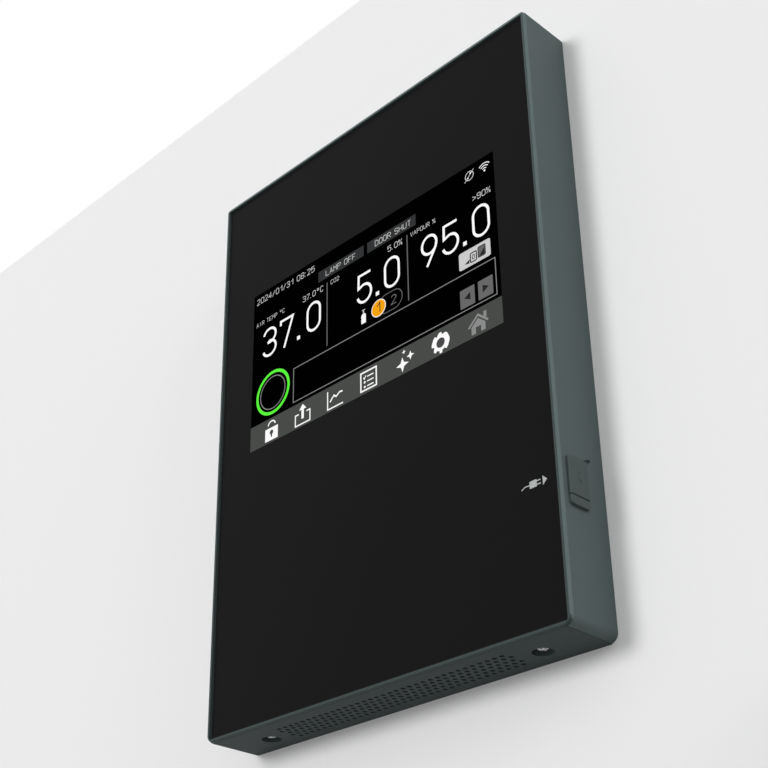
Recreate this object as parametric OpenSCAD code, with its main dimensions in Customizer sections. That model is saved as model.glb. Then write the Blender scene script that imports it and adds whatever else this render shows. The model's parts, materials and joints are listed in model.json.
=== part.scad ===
// Carbon dioxide incubator with a water-vapour chamber, an outer door that carries a touch-screen
// control panel, and an inner glass door. Millimetres. X runs to the right as seen by a person in
// front of the cabinet, Y runs back into it and Z up. The origin is on the bench under the middle.

/* [Casing] */
// Distance from the chamber's side walls to the casing's sides
wall_w = 65; // [58:1:90]
// Distance from the chamber's rear wall to the casing's rear
rear_room = 45; // [42:1:80]
// Distance from the chamber's ceiling to the top of the casing
ceiling_rise = 110; // [90:1:150]
// Thickness of the painted steel sheets
sheet_t = 1.2; // [0.8:0.1:2]
// Thickness of the steel base plate
base_t = 3; // [2:0.5:5]
// Thickness of the collar that frames the chamber
collar_t = 2; // [1:0.5:3]

/* [Levelling feet] */
// Height of the casing above the bench
foot_h = 35; // [28:1:45]
// Diameter of the rubber-faced foot pad
foot_pad_d = 46; // [36:1:60]
// Thickness of the foot pad
foot_pad_t = 10; // [6:1:14]
// Diameter of the foot's threaded stud
foot_stud_d = 10; // [8:1:14]
// Width across the flats of the lock nut
foot_nut_w = 17; // [15:1:24]
// Thickness of the lock nut
foot_nut_t = 6; // [4:1:8]
// Distance from the casing's sides to the middle of a foot
foot_inset = 45; // [35:1:80]
// Length of the stud above the base plate
foot_stud_spare = 14; // [8:1:24]

/* [Chamber] */
// Inside width of the chamber
chamber_w = 490; // [440:1:510]
// Inside height of the chamber
chamber_h = 665; // [620:1:680]
// Inside depth of the chamber
chamber_d = 523; // [480:1:530]
// Thickness of the stainless chamber walls
chamber_t = 1; // [0.8:0.1:1.5]
// Inside radius of the chamber's long corners
chamber_r = 18; // [8:1:30]
// Width of the flange around the chamber's mouth
chamber_flange = 14; // [10:1:18]
// Height of the chamber floor above the casing's underside
floor_rise = 95; // [80:1:110]
// Depth of the collar's pocket in front of the chamber
pocket_d = 22; // [20:1:28]
// Room between the chamber's mouth and the pocket's walls
pocket_margin = 28; // [27:1:32]

/* [Racks and shelves] */
// Number of shelves
shelf_count = 4; // [4]
// Height of the lowest shelf above the chamber floor
shelf_first = 95; // [80:1:120]
// Distance of the top shelf below the chamber's ceiling
shelf_top_room = 156; // [120:1:200]
// Thickness of a shelf's sheet
shelf_t = 1; // [0.8:0.1:2]
// Depth of the shelves' turned-down front and rear edges
shelf_lip = 14; // [8:1:20]
// Distance of the shelves' front edge behind the chamber's mouth
shelf_setback = 20; // [20:1:40]
// Distance of the shelves' rear edge in front of the air duct
shelf_rear_room = 5; // [3:1:12]
// Sheet thickness of the shelf racks
rack_t = 1.5; // [1:0.1:2.5]
// Width of the racks' upright strips
rack_post_w = 22; // [14:1:30]
// Width of the racks' ledges
rack_ledge_w = 14; // [10:1:20]
// Height of the racks' uprights above the top shelf
rack_top = 60; // [40:1:80]
// Distance of the uprights from the ends of the ledges
rack_post_inset = 55; // [40:1:80]
// Height of the humidity pan
pan_h = 30; // [20:1:45]
// Thickness of the humidity pan's sheet
pan_t = 1; // [0.8:0.1:1.5]
// Distance of the humidity pan's sides from the chamber's walls
pan_side_room = 24; // [20:1:40]
// Corner radius of the humidity pan
pan_r = 20; // [10:1:30]

/* [Inner door] */
// Thickness of the inner door's glass
glass_t = 5; // [4:0.5:6]
// Overlap of the glass over the chamber's mouth on each side
glass_overlap = 12; // [10:1:14]
// Thickness of the silicone seal between the glass and the chamber's flange
inner_seal_t = 4.7; // [4:0.1:5]
// Width of the silicone seal
inner_seal_w = 8; // [6:1:9]
// Diameter of the inner hinge pins
inner_pin_d = 5; // [4:0.5:5.5]
// Diameter of the inner hinge knuckles
inner_knuckle_d = 10; // [8:0.5:10.5]
// Height of each inner hinge knuckle
inner_knuckle_h = 24; // [16:1:40]
// Distance of the inner hinges from the top and bottom of the glass
inner_hinge_inset = 92; // [60:1:140]
// Distance from the glass's edge to the inner hinge axis
inner_hinge_side = 6; // [6:0.5:7]
// Distance from the glass's front face to the inner hinge axis
inner_hinge_front = 2; // [1.5:0.5:3]
// Thickness of the hinge clamp plates
clamp_t = 2; // [1.5:0.5:3]
// Length of the hinge clamp plates on the glass
clamp_l = 34; // [24:1:50]
// Length of the inner door's grip
grip_l = 70; // [50:1:100]
// Width of the inner door's grip
grip_w = 14; // [10:1:20]
// Distance that the grip stands off the glass
grip_reach = 13; // [11:1:14]
// Distance of the grip's middle from the glass's free edge
grip_inset = 30; // [24:1:50]

/* [Outer door] */
// Thickness of the outer door
door_t = 68; // [60:1:80]
// Gap between the casing and the outer door, which the seal fills
seal_gap = 8; // [8:0.5:10]
// Gap between the door's top edge and the top of the casing
door_top_gap = 1; // [1:0.5:3]
// Gap between the door's bottom edge and the underside of the casing
door_bottom_gap = 3; // [2:0.5:6]
// Corner radius of the door's face
door_r = 3; // [1:0.5:6]
// Thickness of the door's moulded inner liner
liner_t = 2; // [1.5:0.5:3]
// Height of the liner's raised field
liner_rise = 3; // [2:0.5:4]
// Distance of the liner's raised field from the door's edge
liner_margin = 52; // [44:1:70]
// Width of the magnetic seal
door_seal_w = 16; // [12:1:20]
// Distance of the magnetic seal from the door's edge
door_seal_inset = 12; // [11:1:16]

/* [Door handle] */
// Distance that the handle stands off the door
handle_reach = 40; // [34:1:50]
// Length of the handle
handle_l = 176; // [140:1:200]
// Width of the handle bar
handle_w = 20; // [16:1:28]
// Thickness of the handle bar
handle_t = 13; // [10:1:18]
// Height of the handle's foot on the bar
handle_foot_l = 26; // [20:1:36]
// Distance from the handle's middle to the door's free edge
handle_inset = 25; // [20:1:40]
// Height of the handle's top end above the door's bottom edge
handle_top = 440; // [380:1:450]

/* [Door hinges] */
// Diameter of the door's hinge pins
pin_d = 10; // [8:1:12]
// Length of the hinge pins inside the door
pin_l = 22; // [16:1:30]
// Distance of the hinge axis from the door's hinged edge
pin_inset = 14; // [14:1:18]
// Outside diameter of the hinge bushes
bush_d = 16; // [14:1:20]
// Thickness of the hinge brackets
bracket_t = 4; // [3:0.5:5]
// Width of the hinge brackets
bracket_w = 44; // [36:1:60]
// Length of the brackets on the casing
bracket_grip = 60; // [40:1:90]

/* [Control panel] */
// Width of the control panel
panel_w = 202; // [190:1:214]
// Height of the control panel
panel_h = 288.7; // [276:0.1:300]
// Depth of the control panel
panel_d = 27.5; // [25:0.5:32]
// Margin between the panel and the door's free edge
panel_margin_side = 116.5; // [100:0.5:140]
// Margin between the panel and the door's top edge
panel_margin_top = 116.7; // [100:0.1:140]
// Corner radius of the panel's lower corners
panel_r_low = 4; // [3:0.5:6]
// Corner radius of the panel's upper corners
panel_r_top = 2; // [1:0.5:3]
// Wall thickness of the panel's housing
panel_wall = 2.5; // [2:0.1:3]
// Width of the housing's rim around the glass
rim_w = 1.9; // [1.8:0.1:3]
// Depth of the glass's face behind the rim
glass_recess = 1.2; // [0.8:0.1:2]
// Thickness of the panel's cover glass
cover_glass_t = 2; // [1.5:0.1:2.5]
// Width of the ledge that the cover glass sits on
glass_ledge = 4; // [3:0.5:6]
// Height of the underside cover's walls
under_cover_h = 5.5; // [5:0.5:8]
// Distance of the underside cover behind the panel's front
under_cover_setback = 1.4; // [1.2:0.1:2]
// Distance of the underside cover's ends from the panel's sides
under_cover_side = 3.1; // [3:0.1:5]
// Thickness of the underside cover's plate
under_cover_t = 1.2; // [1:0.1:1.3]
// Thickness of the steel plate on the panel's rear
back_plate_t = 1.5; // [1:0.1:2]

/* [Display and electronics] */
// Width of the display module
display_w = 165; // [160:1:170]
// Height of the display module
display_h = 100; // [96:1:104]
// Thickness of the display module
display_t = 6; // [5:0.5:8]
// Height of the display's middle above the panel's underside
display_z = 180; // [170:1:190]
// Width of the control board
board_w = 150; // [120:1:160]
// Height of the control board
board_h = 84; // [60:1:88]
// Thickness of the circuit boards
board_t = 1.6; // [1:0.1:2.4]
// Height of the control board's lower edge above the panel's underside
board_z = 34; // [30:1:36]
// Length of the control board's spacers
board_post_l = 6; // [4:1:8]
// Diameter of the speaker
speaker_d = 14; // [10:0.5:15]
// Thickness of the speaker
speaker_t = 8; // [5:0.5:10]

/* [Speaker grille and screws] */
// Diameter of a grille hole
grille_hole_d = 2.2; // [1.6:0.1:2.6]
// Distance from one grille hole to the next in a row
grille_pitch = 3.64; // [3.2:0.02:3.8]
// Holes in each long row of the grille
grille_count = 36; // [20:2:36]
// Rows of the grille
grille_rows = 5; // [3:2:5]
// Distance of the grille's middle row behind the panel's front
grille_y = 14.4; // [13:0.1:16]
// Distance of each screw from the last hole of the grille
screw_room = 11.6; // [10:0.1:15]
// Distance of the screws behind the panel's front
screw_y = 15.7; // [14:0.1:18]
// Diameter of the screws' recesses
screw_recess_d = 8.8; // [7:0.1:10]
// Depth of the screws' recesses
screw_recess_depth = 3; // [2:0.1:3.5]
// Diameter of the screws' heads
screw_head_d = 5.4; // [4.5:0.1:6]
// Height of the screws' heads
screw_head_t = 2; // [1.5:0.1:2.2]
// Diameter of the screws' shanks
screw_d = 3; // [2.5:0.1:3.5]
// Length of the screws' shanks
screw_l = 10; // [8:0.5:16]

/* [USB port] */
// Height of the rubber cover above its fold line
usb_flap_h = 16.4; // [15:0.1:20]
// Width of the rubber cover
usb_flap_w = 11.4; // [10:0.1:13]
// Thickness of the rubber cover
usb_flap_t = 1.4; // [1:0.1:2]
// Height of the cover's fixed root
usb_root_h = 3.8; // [3:0.1:5]
// Height of the fold line above the panel's underside
usb_fold_z = 52; // [48:0.5:60]
// Distance of the cover's middle behind the panel's front
usb_y = 10; // [9:0.1:13]
// Opening height of the socket, along the panel
usb_open_h = 12.5; // [12:0.1:13]
// Opening width of the socket, across the panel's depth
usb_open_w = 5.1; // [4.8:0.1:5.6]
// Wall thickness of the socket's steel shell
usb_shell_t = 0.4; // [0.3:0.1:0.6]
// Length of the socket
usb_l = 14; // [12:0.5:18]
// Width of the finger notch along the rubber cover's upper edge
usb_notch_w = 3; // [2:0.1:4]
// Height of the finger notch down the rubber cover's rear edge
usb_notch_h = 1.6; // [1:0.1:2.5]
// Depth of the finger notch in the housing
usb_notch_d = 0.9; // [0.5:0.1:1.5]

/* [Fan and air duct] */
// Sheet thickness of the duct's cover
duct_t = 1; // [0.8:0.1:1.5]
// Depth of the duct in front of the chamber's rear wall
duct_d = 45; // [40:1:52]
// Distance of the duct's sides from the chamber's walls
duct_side_room = 20; // [16:1:40]
// Height of the duct's lower edge above the chamber floor
duct_bottom = 55; // [45:1:75]
// Distance of the duct's top from the chamber's ceiling
duct_top_room = 30; // [24:1:50]
// Diameter of the round intake in the duct's cover
intake_d = 90; // [70:1:110]
// Number of bars across the intake
intake_bars = 5; // [3:2:9]
// Width of an intake bar
intake_bar_w = 3; // [2:0.5:5]
// Distance of the fan's axis below the chamber's ceiling
fan_drop = 130; // [115:1:150]
// Diameter of the fan wheel
fan_d = 130; // [100:1:150]
// Width of the fan wheel
fan_w = 24; // [16:1:28]
// Number of fan blades
fan_blades = 18; // [12:1:24]
// Length of a fan blade
fan_blade_l = 22; // [16:1:30]
// Thickness of the fan's blades and discs
fan_t = 1.6; // [1.2:0.1:2.5]
// Diameter of the fan's hub
fan_hub_d = 20; // [14:1:26]
// Distance of the fan wheel from the chamber's rear wall
fan_rear_gap = 8; // [5:1:11]
// Diameter of the fan's shaft
shaft_d = 6; // [5:0.5:8]
// Diameter of the fan motor
motor_d = 64; // [50:1:80]
// Length of the fan motor
motor_l = 34; // [24:1:36]

/* [Lamp and sensors] */
// Diameter of the ultraviolet lamp's tube
lamp_d = 15; // [12:1:16]
// Length of the ultraviolet lamp
lamp_l = 290; // [220:1:330]
// Height of the lamp above the chamber floor
lamp_z = 110; // [90:1:150]
// Diameter of the lamp's end caps
lamp_cap_d = 17; // [16:0.5:20]
// Length of the lamp's end caps
lamp_cap_l = 12; // [8:1:18]
// Width of a lamp holder
holder_w = 8; // [5:0.5:12]
// Diameter of the gas sensor
gas_sensor_d = 28; // [20:1:34]
// Length of the gas sensor
gas_sensor_l = 38; // [28:1:39]
// Diameter of the temperature probe
probe_d = 5; // [3:0.5:8]
// Length of the temperature probe in the chamber
probe_l = 70; // [60:1:90]
// Distance of both sensors from the chamber's side walls
sensor_side = 95; // [65:1:120]
// Distance of both sensors below the chamber's ceiling
sensor_drop = 85; // [70:1:110]

/* [Access port] */
// Bore of the access port
port_d = 30; // [24:1:40]
// Wall thickness of the access port's sleeve
port_wall = 3; // [2:0.5:4]
// Width of the sleeve's flange
port_flange = 7; // [5:1:10]
// Thickness of the sleeve's flange
port_flange_t = 3; // [2:0.5:4]
// Distance of the port from the chamber's right wall
port_side = 75; // [55:1:105]
// Height of the port above the chamber floor
port_z = 250; // [200:1:330]
// Diameter of the stopper's head
stopper_head_d = 38; // [34:1:46]
// Thickness of the stopper's head
stopper_head_t = 12; // [8:1:16]

/* [Rear services] */
// Width of the service box on the rear
service_w = 300; // [240:1:340]
// Height of the service box on the rear
service_h = 150; // [110:1:160]
// Depth of the service box on the rear
service_d = 24; // [20:1:30]
// Distance of the service box below the top of the casing
service_drop = 30; // [20:1:45]
// Width of the power inlet
inlet_w = 48; // [44:1:56]
// Height of the power inlet with its switch
inlet_h = 58; // [54:1:64]
// Depth of the power inlet inside the casing
inlet_d = 26; // [22:1:30]
// Thickness of the power inlet's flange
inlet_flange_t = 3; // [2:0.5:5]
// Distance of the power inlet from the casing's left side
inlet_side = 90; // [70:1:120]
// Height of the power inlet above the casing's underside
inlet_z = 150; // [120:1:200]
// Bore of the gas hose that fits the gas inlets
hose_bore = 6; // [4:0.5:8]
// Length of each hose stem
stem_l = 20; // [14:1:22]
// Distance between the two gas inlets
gas_pitch = 45; // [36:1:60]
// Distance of the outer gas inlet from the chamber's right wall
gas_side = 30; // [20:1:55]
// Height of the gas inlets above the casing's underside
gas_z = 180; // [140:1:220]
// Width across the gas inlets' hexagons
gas_hex_w = 14; // [12:1:18]

/* [Clearances] */
// Gap between parts that only lie next to each other
fit = 0.3; // [0.2:0.05:0.5]
// Radial clearance of a pin or a shaft that turns
running = 0.05; // [0.02:0.01:0.1]
// Gap between a sliding shelf and what it slides on
slide = 0.3; // [0.2:0.05:0.5]

/* [Hidden] */
$fn = 48;
case_w = chamber_w + 2 * wall_w;
case_d = pocket_d + chamber_d + rear_room;
case_h = floor_rise + chamber_h + ceiling_rise;
half_w = case_w / 2;
case_z0 = foot_h;
case_z1 = foot_h + case_h;
floor_z = case_z0 + base_t;
roof_z = case_z1 - sheet_t;
gas_flange_t = 4;
front_reach = seal_gap + door_t + max(handle_reach, panel_d);
screw_rise = 2.2;
screw_inset = 20;
rear_reach = max(service_d + screw_rise, gas_flange_t + stem_l);
case_y0 = (front_reach - case_d - rear_reach) / 2;
case_y1 = case_y0 + case_d;
rear_in = case_y1 - sheet_t;

mouth_y = case_y0 + pocket_d;
chamber_y1 = case_y0 + pocket_d + chamber_d;
chamber_z0 = case_z0 + floor_rise;
chamber_z1 = chamber_z0 + chamber_h;
chamber_zm = (chamber_z0 + chamber_z1) / 2;
shell_y1 = chamber_y1 + chamber_t;
pocket_w = chamber_w + 2 * pocket_margin;
pocket_h = chamber_h + 2 * pocket_margin;
pocket_x = pocket_w / 2;

rack_x = chamber_w / 2 - fit;
rack_inner = rack_x - rack_t;
shelf_w = 2 * (rack_inner - 2 * slide);
ledge_edge = rack_inner - rack_ledge_w;
duct_y = chamber_y1 - duct_d;
shelf_y0 = mouth_y + shelf_setback;
shelf_y1 = duct_y - shelf_rear_room;
shelf_pitch = (chamber_h - shelf_first - shelf_top_room) / (shelf_count - 1);
top_shelf_z = chamber_z1 - shelf_top_room;

door_glass_w = chamber_w + 2 * glass_overlap;
door_glass_h = chamber_h + 2 * glass_overlap;
seal_back = mouth_y - chamber_t;
glass_y1 = seal_back - inner_seal_t - fit;
glass_y0 = glass_y1 - glass_t;
inner_axis_x = -door_glass_w / 2 - inner_hinge_side;
inner_axis_y = glass_y0 - inner_hinge_front;

door_z0 = case_z0 + door_bottom_gap;
door_z1 = case_z1 - door_top_gap;
door_h = door_z1 - door_z0;
door_zm = (door_z0 + door_z1) / 2;
door_y1 = case_y0 - seal_gap;
door_y0 = door_y1 - door_t;
pin_x = pin_inset - half_w;
pin_y = (door_y0 + door_y1) / 2;
handle_x = half_w - handle_inset;
handle_z1 = door_z0 + handle_top;
handle_y0 = door_y0 - handle_reach;

panel_x = half_w - panel_margin_side - panel_w / 2;
panel_y = door_y0 - panel_d;
panel_z = door_z1 - panel_margin_top - panel_h;
cover_w = panel_w - 2 * rim_w - 2 * fit;
cover_h = panel_h - 2 * rim_w - 2 * fit;
cover_back = glass_recess + cover_glass_t;
ledge_back = cover_back + panel_wall;
grille_row = grille_pitch * sqrt(3) / 2;
cover_plate_y0 = ledge_back + 2 * fit;
screw_x = (grille_count - 1) / 2 * grille_pitch + screw_room;

fan_z = chamber_z1 - fan_drop;
fan_y1 = chamber_y1 - fan_rear_gap;
fan_y0 = fan_y1 - fan_w;
motor_y0 = shell_y1 + fit;
service_z1 = case_z1 - service_drop;
service_z0 = service_z1 - service_h;
sensor_x = chamber_w / 2 - sensor_side;
port_x = chamber_w / 2 - port_side;
gas_x = chamber_w / 2 - gas_side;
inlet_x = inlet_side - half_w;

// Shared shapes

// A flat outline, drawn with X across and Z up, given its depth from y0 to y1
module deep(y0, y1) {
    translate([0, y1, 0]) rotate([90, 0, 0]) linear_extrude(y1 - y0) children();
}

// A rectangle with round corners around its own middle
module rounded(w, h, r) {
    square([w - 2 * r, h], center = true);
    square([w, h - 2 * r], center = true);
    for (sx = [-1, 1], sz = [-1, 1])
        translate([sx * (w / 2 - r), sz * (h / 2 - r)]) circle(r);
}

// A block from one corner to the opposite one
module block(low, high) {
    translate(low) cube(high - low);
}

// A round bar along Y
module bar_y(d, y0, y1) {
    translate([0, y0, 0]) rotate([-90, 0, 0]) cylinder(d = d, h = y1 - y0);
}

// A round bar along X
module bar_x(d, x0, x1) {
    translate([x0, 0, 0]) rotate([0, 90, 0]) cylinder(d = d, h = x1 - x0);
}

// A domed screw head on a rear face at y, with a short shank behind it
module rear_screw(x, y, z) {
    translate([x, y, z]) {
        bar_y(7, 0, 1.6);
        bar_y(5, 1.6, screw_rise);
    }
}

// Casing

// One side panel of the casing
module side_panel(side) {
    x0 = side < 0 ? -half_w : half_w - sheet_t;
    color("whitesmoke") block([x0, case_y0, case_z0], [x0 + sheet_t, case_y1, case_z1]);
}

module side_panel_left() {
    side_panel(-1);
}

module side_panel_right() {
    side_panel(1);
}

module top_panel() {
    color("whitesmoke")
        block([sheet_t - half_w, case_y0, roof_z], [half_w - sheet_t, case_y1, case_z1]);
}

module base_plate() {
    color("silver") difference() {
        block([sheet_t - half_w, case_y0, case_z0], [half_w - sheet_t, case_y1, floor_z]);
        at_feet() translate([0, 0, case_z0 - 1])
            cylinder(d = foot_stud_d + 2 * running, h = base_t + 2);
    }
}

// The rear panel with its openings for the port, the gas inlets and the power inlet
module rear_panel() {
    color("whitesmoke") difference() {
        block([sheet_t - half_w, rear_in, floor_z], [half_w - sheet_t, case_y1, roof_z]);
        at_port() bar_y(port_d + 2 * port_wall + 2 * fit, rear_in - 1, case_y1 + 1);
        for (i = [-1, 1])
            at_gas(i) bar_y(hose_bore + 2 * fit, rear_in - 1, case_y1 + 1);
        translate([inlet_x, 0, case_z0 + inlet_z]) deep(rear_in - 1, case_y1 + 1)
            square([inlet_w - 8 + 2 * fit, inlet_h - 8 + 2 * fit], center = true);
    }
}

// The collar: a front face, the walls of the pocket and the ledge behind the chamber's flange
module front_collar() {
    zm = (floor_z + roof_z) / 2;
    color("gainsboro") difference() {
        union() {
            translate([0, 0, zm]) deep(case_y0, case_y0 + collar_t)
                square([case_w - 2 * sheet_t, roof_z - floor_z], center = true);
            translate([0, 0, chamber_zm]) deep(case_y0, mouth_y + collar_t)
                rounded(pocket_w + 2 * collar_t, pocket_h + 2 * collar_t, 6);
        }
        translate([0, 0, chamber_zm]) {
            deep(case_y0 - 1, mouth_y) rounded(pocket_w, pocket_h, 4);
            deep(mouth_y - 1, mouth_y + collar_t + 1)
                rounded(chamber_w + 2 * chamber_t, chamber_h + 2 * chamber_t, chamber_r);
        }
    }
}

// Foam blocks below, above, beside and behind the chamber
module insulation() {
    y0 = mouth_y + collar_t;
    xs = chamber_w / 2 + chamber_t;
    xc = half_w - sheet_t;
    zb = chamber_z0 - chamber_t;
    zt = chamber_z1 + chamber_t;
    color("lightyellow") {
        difference() {
            block([-xc, y0, floor_z], [xc, rear_in, zb]);
            at_feet() translate([0, 0, floor_z - 1])
                cylinder(d = foot_stud_d + 4, h = foot_stud_spare + 5);
            translate([inlet_x, 0, case_z0 + inlet_z])
                deep(rear_in - inlet_d - 4, rear_in + 1) square([inlet_w, inlet_h], center = true);
        }
        block([-xc, y0, zt], [xc, rear_in, roof_z]);
        difference() {
            block([-xc, y0, zb], [-xs, rear_in, zt]);
            translate([inlet_x, 0, case_z0 + inlet_z])
                deep(rear_in - inlet_d - 4, rear_in + 1) square([inlet_w, inlet_h], center = true);
        }
        block([xs, y0, zb], [xc, rear_in, zt]);
        difference() {
            block([-xs, shell_y1, zb], [xs, rear_in, zt]);
            at_motor() bar_y(motor_d + 14, shell_y1 - 1, rear_in + 1);
            at_port() bar_y(port_d + 2 * port_wall + 2 * fit, shell_y1 - 1, rear_in + 1);
            for (i = [-1, 1])
                at_gas(i) bar_y(hose_bore + 2 * fit, shell_y1 - 1, rear_in + 1);
            translate([inlet_x, 0, case_z0 + inlet_z])
                deep(rear_in - inlet_d - 4, rear_in + 1) square([inlet_w, inlet_h], center = true);
        }
    }
}

// The stainless chamber: a drawn box with a flange around its mouth
module chamber() {
    color("silver") difference() {
        translate([0, 0, chamber_zm]) union() {
            deep(seal_back, shell_y1)
                rounded(chamber_w + 2 * chamber_t, chamber_h + 2 * chamber_t, chamber_r + chamber_t);
            deep(seal_back, mouth_y)
                rounded(chamber_w + 2 * chamber_flange, chamber_h + 2 * chamber_flange,
                        chamber_r + chamber_flange);
        }
        translate([0, 0, chamber_zm]) deep(seal_back - 1, chamber_y1)
            rounded(chamber_w, chamber_h, chamber_r);
        at_motor() bar_y(shaft_d + 6, chamber_y1 - 1, shell_y1 + 1);
        at_port() bar_y(port_d + 2 * port_wall + 2 * fit, chamber_y1 - 1, shell_y1 + 1);
        for (i = [-1, 1])
            at_gas(i) bar_y(hose_bore + 2 * fit, chamber_y1 - 1, shell_y1 + 1);
    }
}

// Places that several parts share

module at_feet() {
    for (sx = [-1, 1], y = [case_y0 + foot_inset, case_y1 - foot_inset])
        translate([sx * (half_w - foot_inset), y, 0]) children();
}

module at_motor() {
    translate([0, 0, fan_z]) children();
}

module at_port() {
    translate([port_x, 0, chamber_z0 + port_z]) children();
}

module at_gas(i) {
    translate([gas_x + i * gas_pitch / 2 - gas_pitch / 2, 0, case_z0 + gas_z]) children();
}

module at_panel() {
    translate([panel_x, panel_y, panel_z]) children();
}

// Levelling feet

// A pad with a lock nut and a stud that screws into the base plate
module levelling_foot(sx, y) {
    color("dimgray") translate([sx * (half_w - foot_inset), y, 0]) {
        cylinder(d = foot_pad_d, h = foot_pad_t);
        cylinder(d = foot_stud_d, h = floor_z + foot_stud_spare);
        translate([0, 0, case_z0 - fit - foot_nut_t])
            cylinder(d = foot_nut_w / cos(30), h = foot_nut_t, $fn = 6);
    }
}

module levelling_foot_front_left() {
    levelling_foot(-1, case_y0 + foot_inset);
}

module levelling_foot_front_right() {
    levelling_foot(1, case_y0 + foot_inset);
}

module levelling_foot_rear_left() {
    levelling_foot(-1, case_y1 - foot_inset);
}

module levelling_foot_rear_right() {
    levelling_foot(1, case_y1 - foot_inset);
}

// Racks, shelves and humidity pan

// Two uprights on the chamber's wall and one ledge for each shelf
module shelf_rack(side) {
    z0 = chamber_z0 + pan_h + 20;
    z1 = top_shelf_z + rack_top;
    color("silver") mirror([side < 0 ? 1 : 0, 0, 0]) {
        for (y = [shelf_y0 + rack_post_inset, shelf_y1 - rack_post_inset - rack_post_w])
            block([rack_inner, y, z0], [rack_x, y + rack_post_w, z1]);
        for (i = [0 : shelf_count - 1]) {
            z = chamber_z0 + shelf_first + i * shelf_pitch - shelf_t - slide;
            block([ledge_edge, shelf_y0, z - rack_t], [rack_x, shelf_y1, z]);
            block([rack_inner, shelf_y0, z - 10], [rack_x, shelf_y1, z]);
        }
    }
}

module shelf_rack_left() {
    shelf_rack(-1);
}

module shelf_rack_right() {
    shelf_rack(1);
}

// A flat shelf whose front and rear edges are turned down between the ledges
module shelf(i) {
    z = chamber_z0 + shelf_first + i * shelf_pitch;
    xl = ledge_edge - 3;
    color("gainsboro") {
        block([-shelf_w / 2, shelf_y0, z - shelf_t], [shelf_w / 2, shelf_y1, z]);
        for (y = [shelf_y0, shelf_y1 - shelf_t])
            block([-xl, y, z - shelf_lip], [xl, y + shelf_t, z]);
    }
}

module shelf_1() {
    shelf(0);
}

module shelf_2() {
    shelf(1);
}

module shelf_3() {
    shelf(2);
}

module shelf_4() {
    shelf(3);
}

module humidity_pan() {
    w = chamber_w - 2 * pan_side_room;
    l = shelf_y1 - shelf_y0;
    color("gainsboro") translate([0, (shelf_y0 + shelf_y1) / 2, chamber_z0 + slide]) difference() {
        linear_extrude(pan_h) rounded(w, l, pan_r);
        translate([0, 0, pan_t]) linear_extrude(pan_h)
            rounded(w - 2 * pan_t, l - 2 * pan_t, pan_r - pan_t);
    }
}

// Air duct, fan, lamp and sensors

// A folded cover that hides the fan and the lamp, open at its foot
module air_duct_cover() {
    x = chamber_w / 2 - duct_side_room;
    z0 = chamber_z0 + duct_bottom;
    z1 = chamber_z1 - duct_top_room;
    color("silver") {
        difference() {
            block([-x, duct_y, z0], [x, chamber_y1 - fit, z1]);
            block([duct_t - x, duct_y + duct_t, z0 - 1], [x - duct_t, chamber_y1 + 1, z1 - duct_t]);
            at_motor() bar_y(intake_d, duct_y - 1, duct_y + duct_t + 1);
            translate([-sensor_x, 0, chamber_z1 - sensor_drop])
                bar_y(probe_d + 3, duct_y - 1, duct_y + duct_t + 1);
            at_port() bar_y(port_d, duct_y - 1, duct_y + duct_t + 1);
        }
        for (i = [0 : intake_bars - 1])
            at_motor() translate([0, 0, (i - (intake_bars - 1) / 2) * intake_d / (intake_bars + 1)])
                block([-intake_d / 2 - 1, duct_y, -intake_bar_w / 2],
                      [intake_d / 2 + 1, duct_y + duct_t, intake_bar_w / 2]);
    }
}

module fan_motor() {
    color("dimgray") at_motor() difference() {
        union() {
            bar_y(motor_d, motor_y0, motor_y0 + motor_l);
            bar_y(motor_d + 10, motor_y0, motor_y0 + 3);
        }
        bar_y(shaft_d + 2 * running, motor_y0 - 1, motor_y0 + motor_l - 3);
    }
}

module fan_shaft() {
    color("silver") at_motor() bar_y(shaft_d, fan_y0 + 4, motor_y0 + motor_l - 4);
}

// A centrifugal wheel: rear disc, hub, a ring of blades and a front ring
module fan_wheel() {
    r = fan_d / 2;
    color("white") at_motor() difference() {
        union() {
            bar_y(fan_d, fan_y1 - fan_t, fan_y1);
            bar_y(fan_hub_d, fan_y0 + 6, fan_y1);
            difference() {
                bar_y(fan_d, fan_y0, fan_y0 + fan_t);
                bar_y(fan_d - 2 * fan_blade_l, fan_y0 - 1, fan_y0 + fan_t + 1);
            }
            deep(fan_y0 + fan_t / 2, fan_y1 - fan_t / 2) for (i = [0 : fan_blades - 1])
                rotate(i * 360 / fan_blades) translate([r - fan_blade_l, 0]) rotate(-12)
                    translate([0, -fan_t / 2]) square([fan_blade_l - 2, fan_t]);
        }
        bar_y(shaft_d + 0.04, fan_y0 - 1, fan_y1 + 1);
    }
}

module uv_lamp() {
    y = chamber_y1 - duct_d / 2;
    color("lavender") translate([0, y, chamber_z0 + lamp_z]) {
        bar_x(lamp_d, lamp_cap_l - lamp_l / 2, lamp_l / 2 - lamp_cap_l);
        bar_x(lamp_cap_d, -lamp_l / 2, lamp_cap_l - lamp_l / 2);
        bar_x(lamp_cap_d, lamp_l / 2 - lamp_cap_l, lamp_l / 2);
    }
}

// Two clips that hold the lamp's caps on the chamber's rear wall
module lamp_holders() {
    y = chamber_y1 - duct_d / 2;
    r = lamp_cap_d / 2;
    xm = lamp_l / 2 - lamp_cap_l / 2;
    color("white") for (s = [-1, 1])
        translate([s * xm, 0, chamber_z0 + lamp_z]) difference() {
            union() {
                translate([0, y, 0]) bar_x(lamp_cap_d + 6, -holder_w / 2, holder_w / 2);
                block([-holder_w / 2, y, -r], [holder_w / 2, chamber_y1 - fit, r]);
            }
            translate([0, y, 0]) bar_x(lamp_cap_d + 2 * running, -holder_w, holder_w);
        }
}

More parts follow.
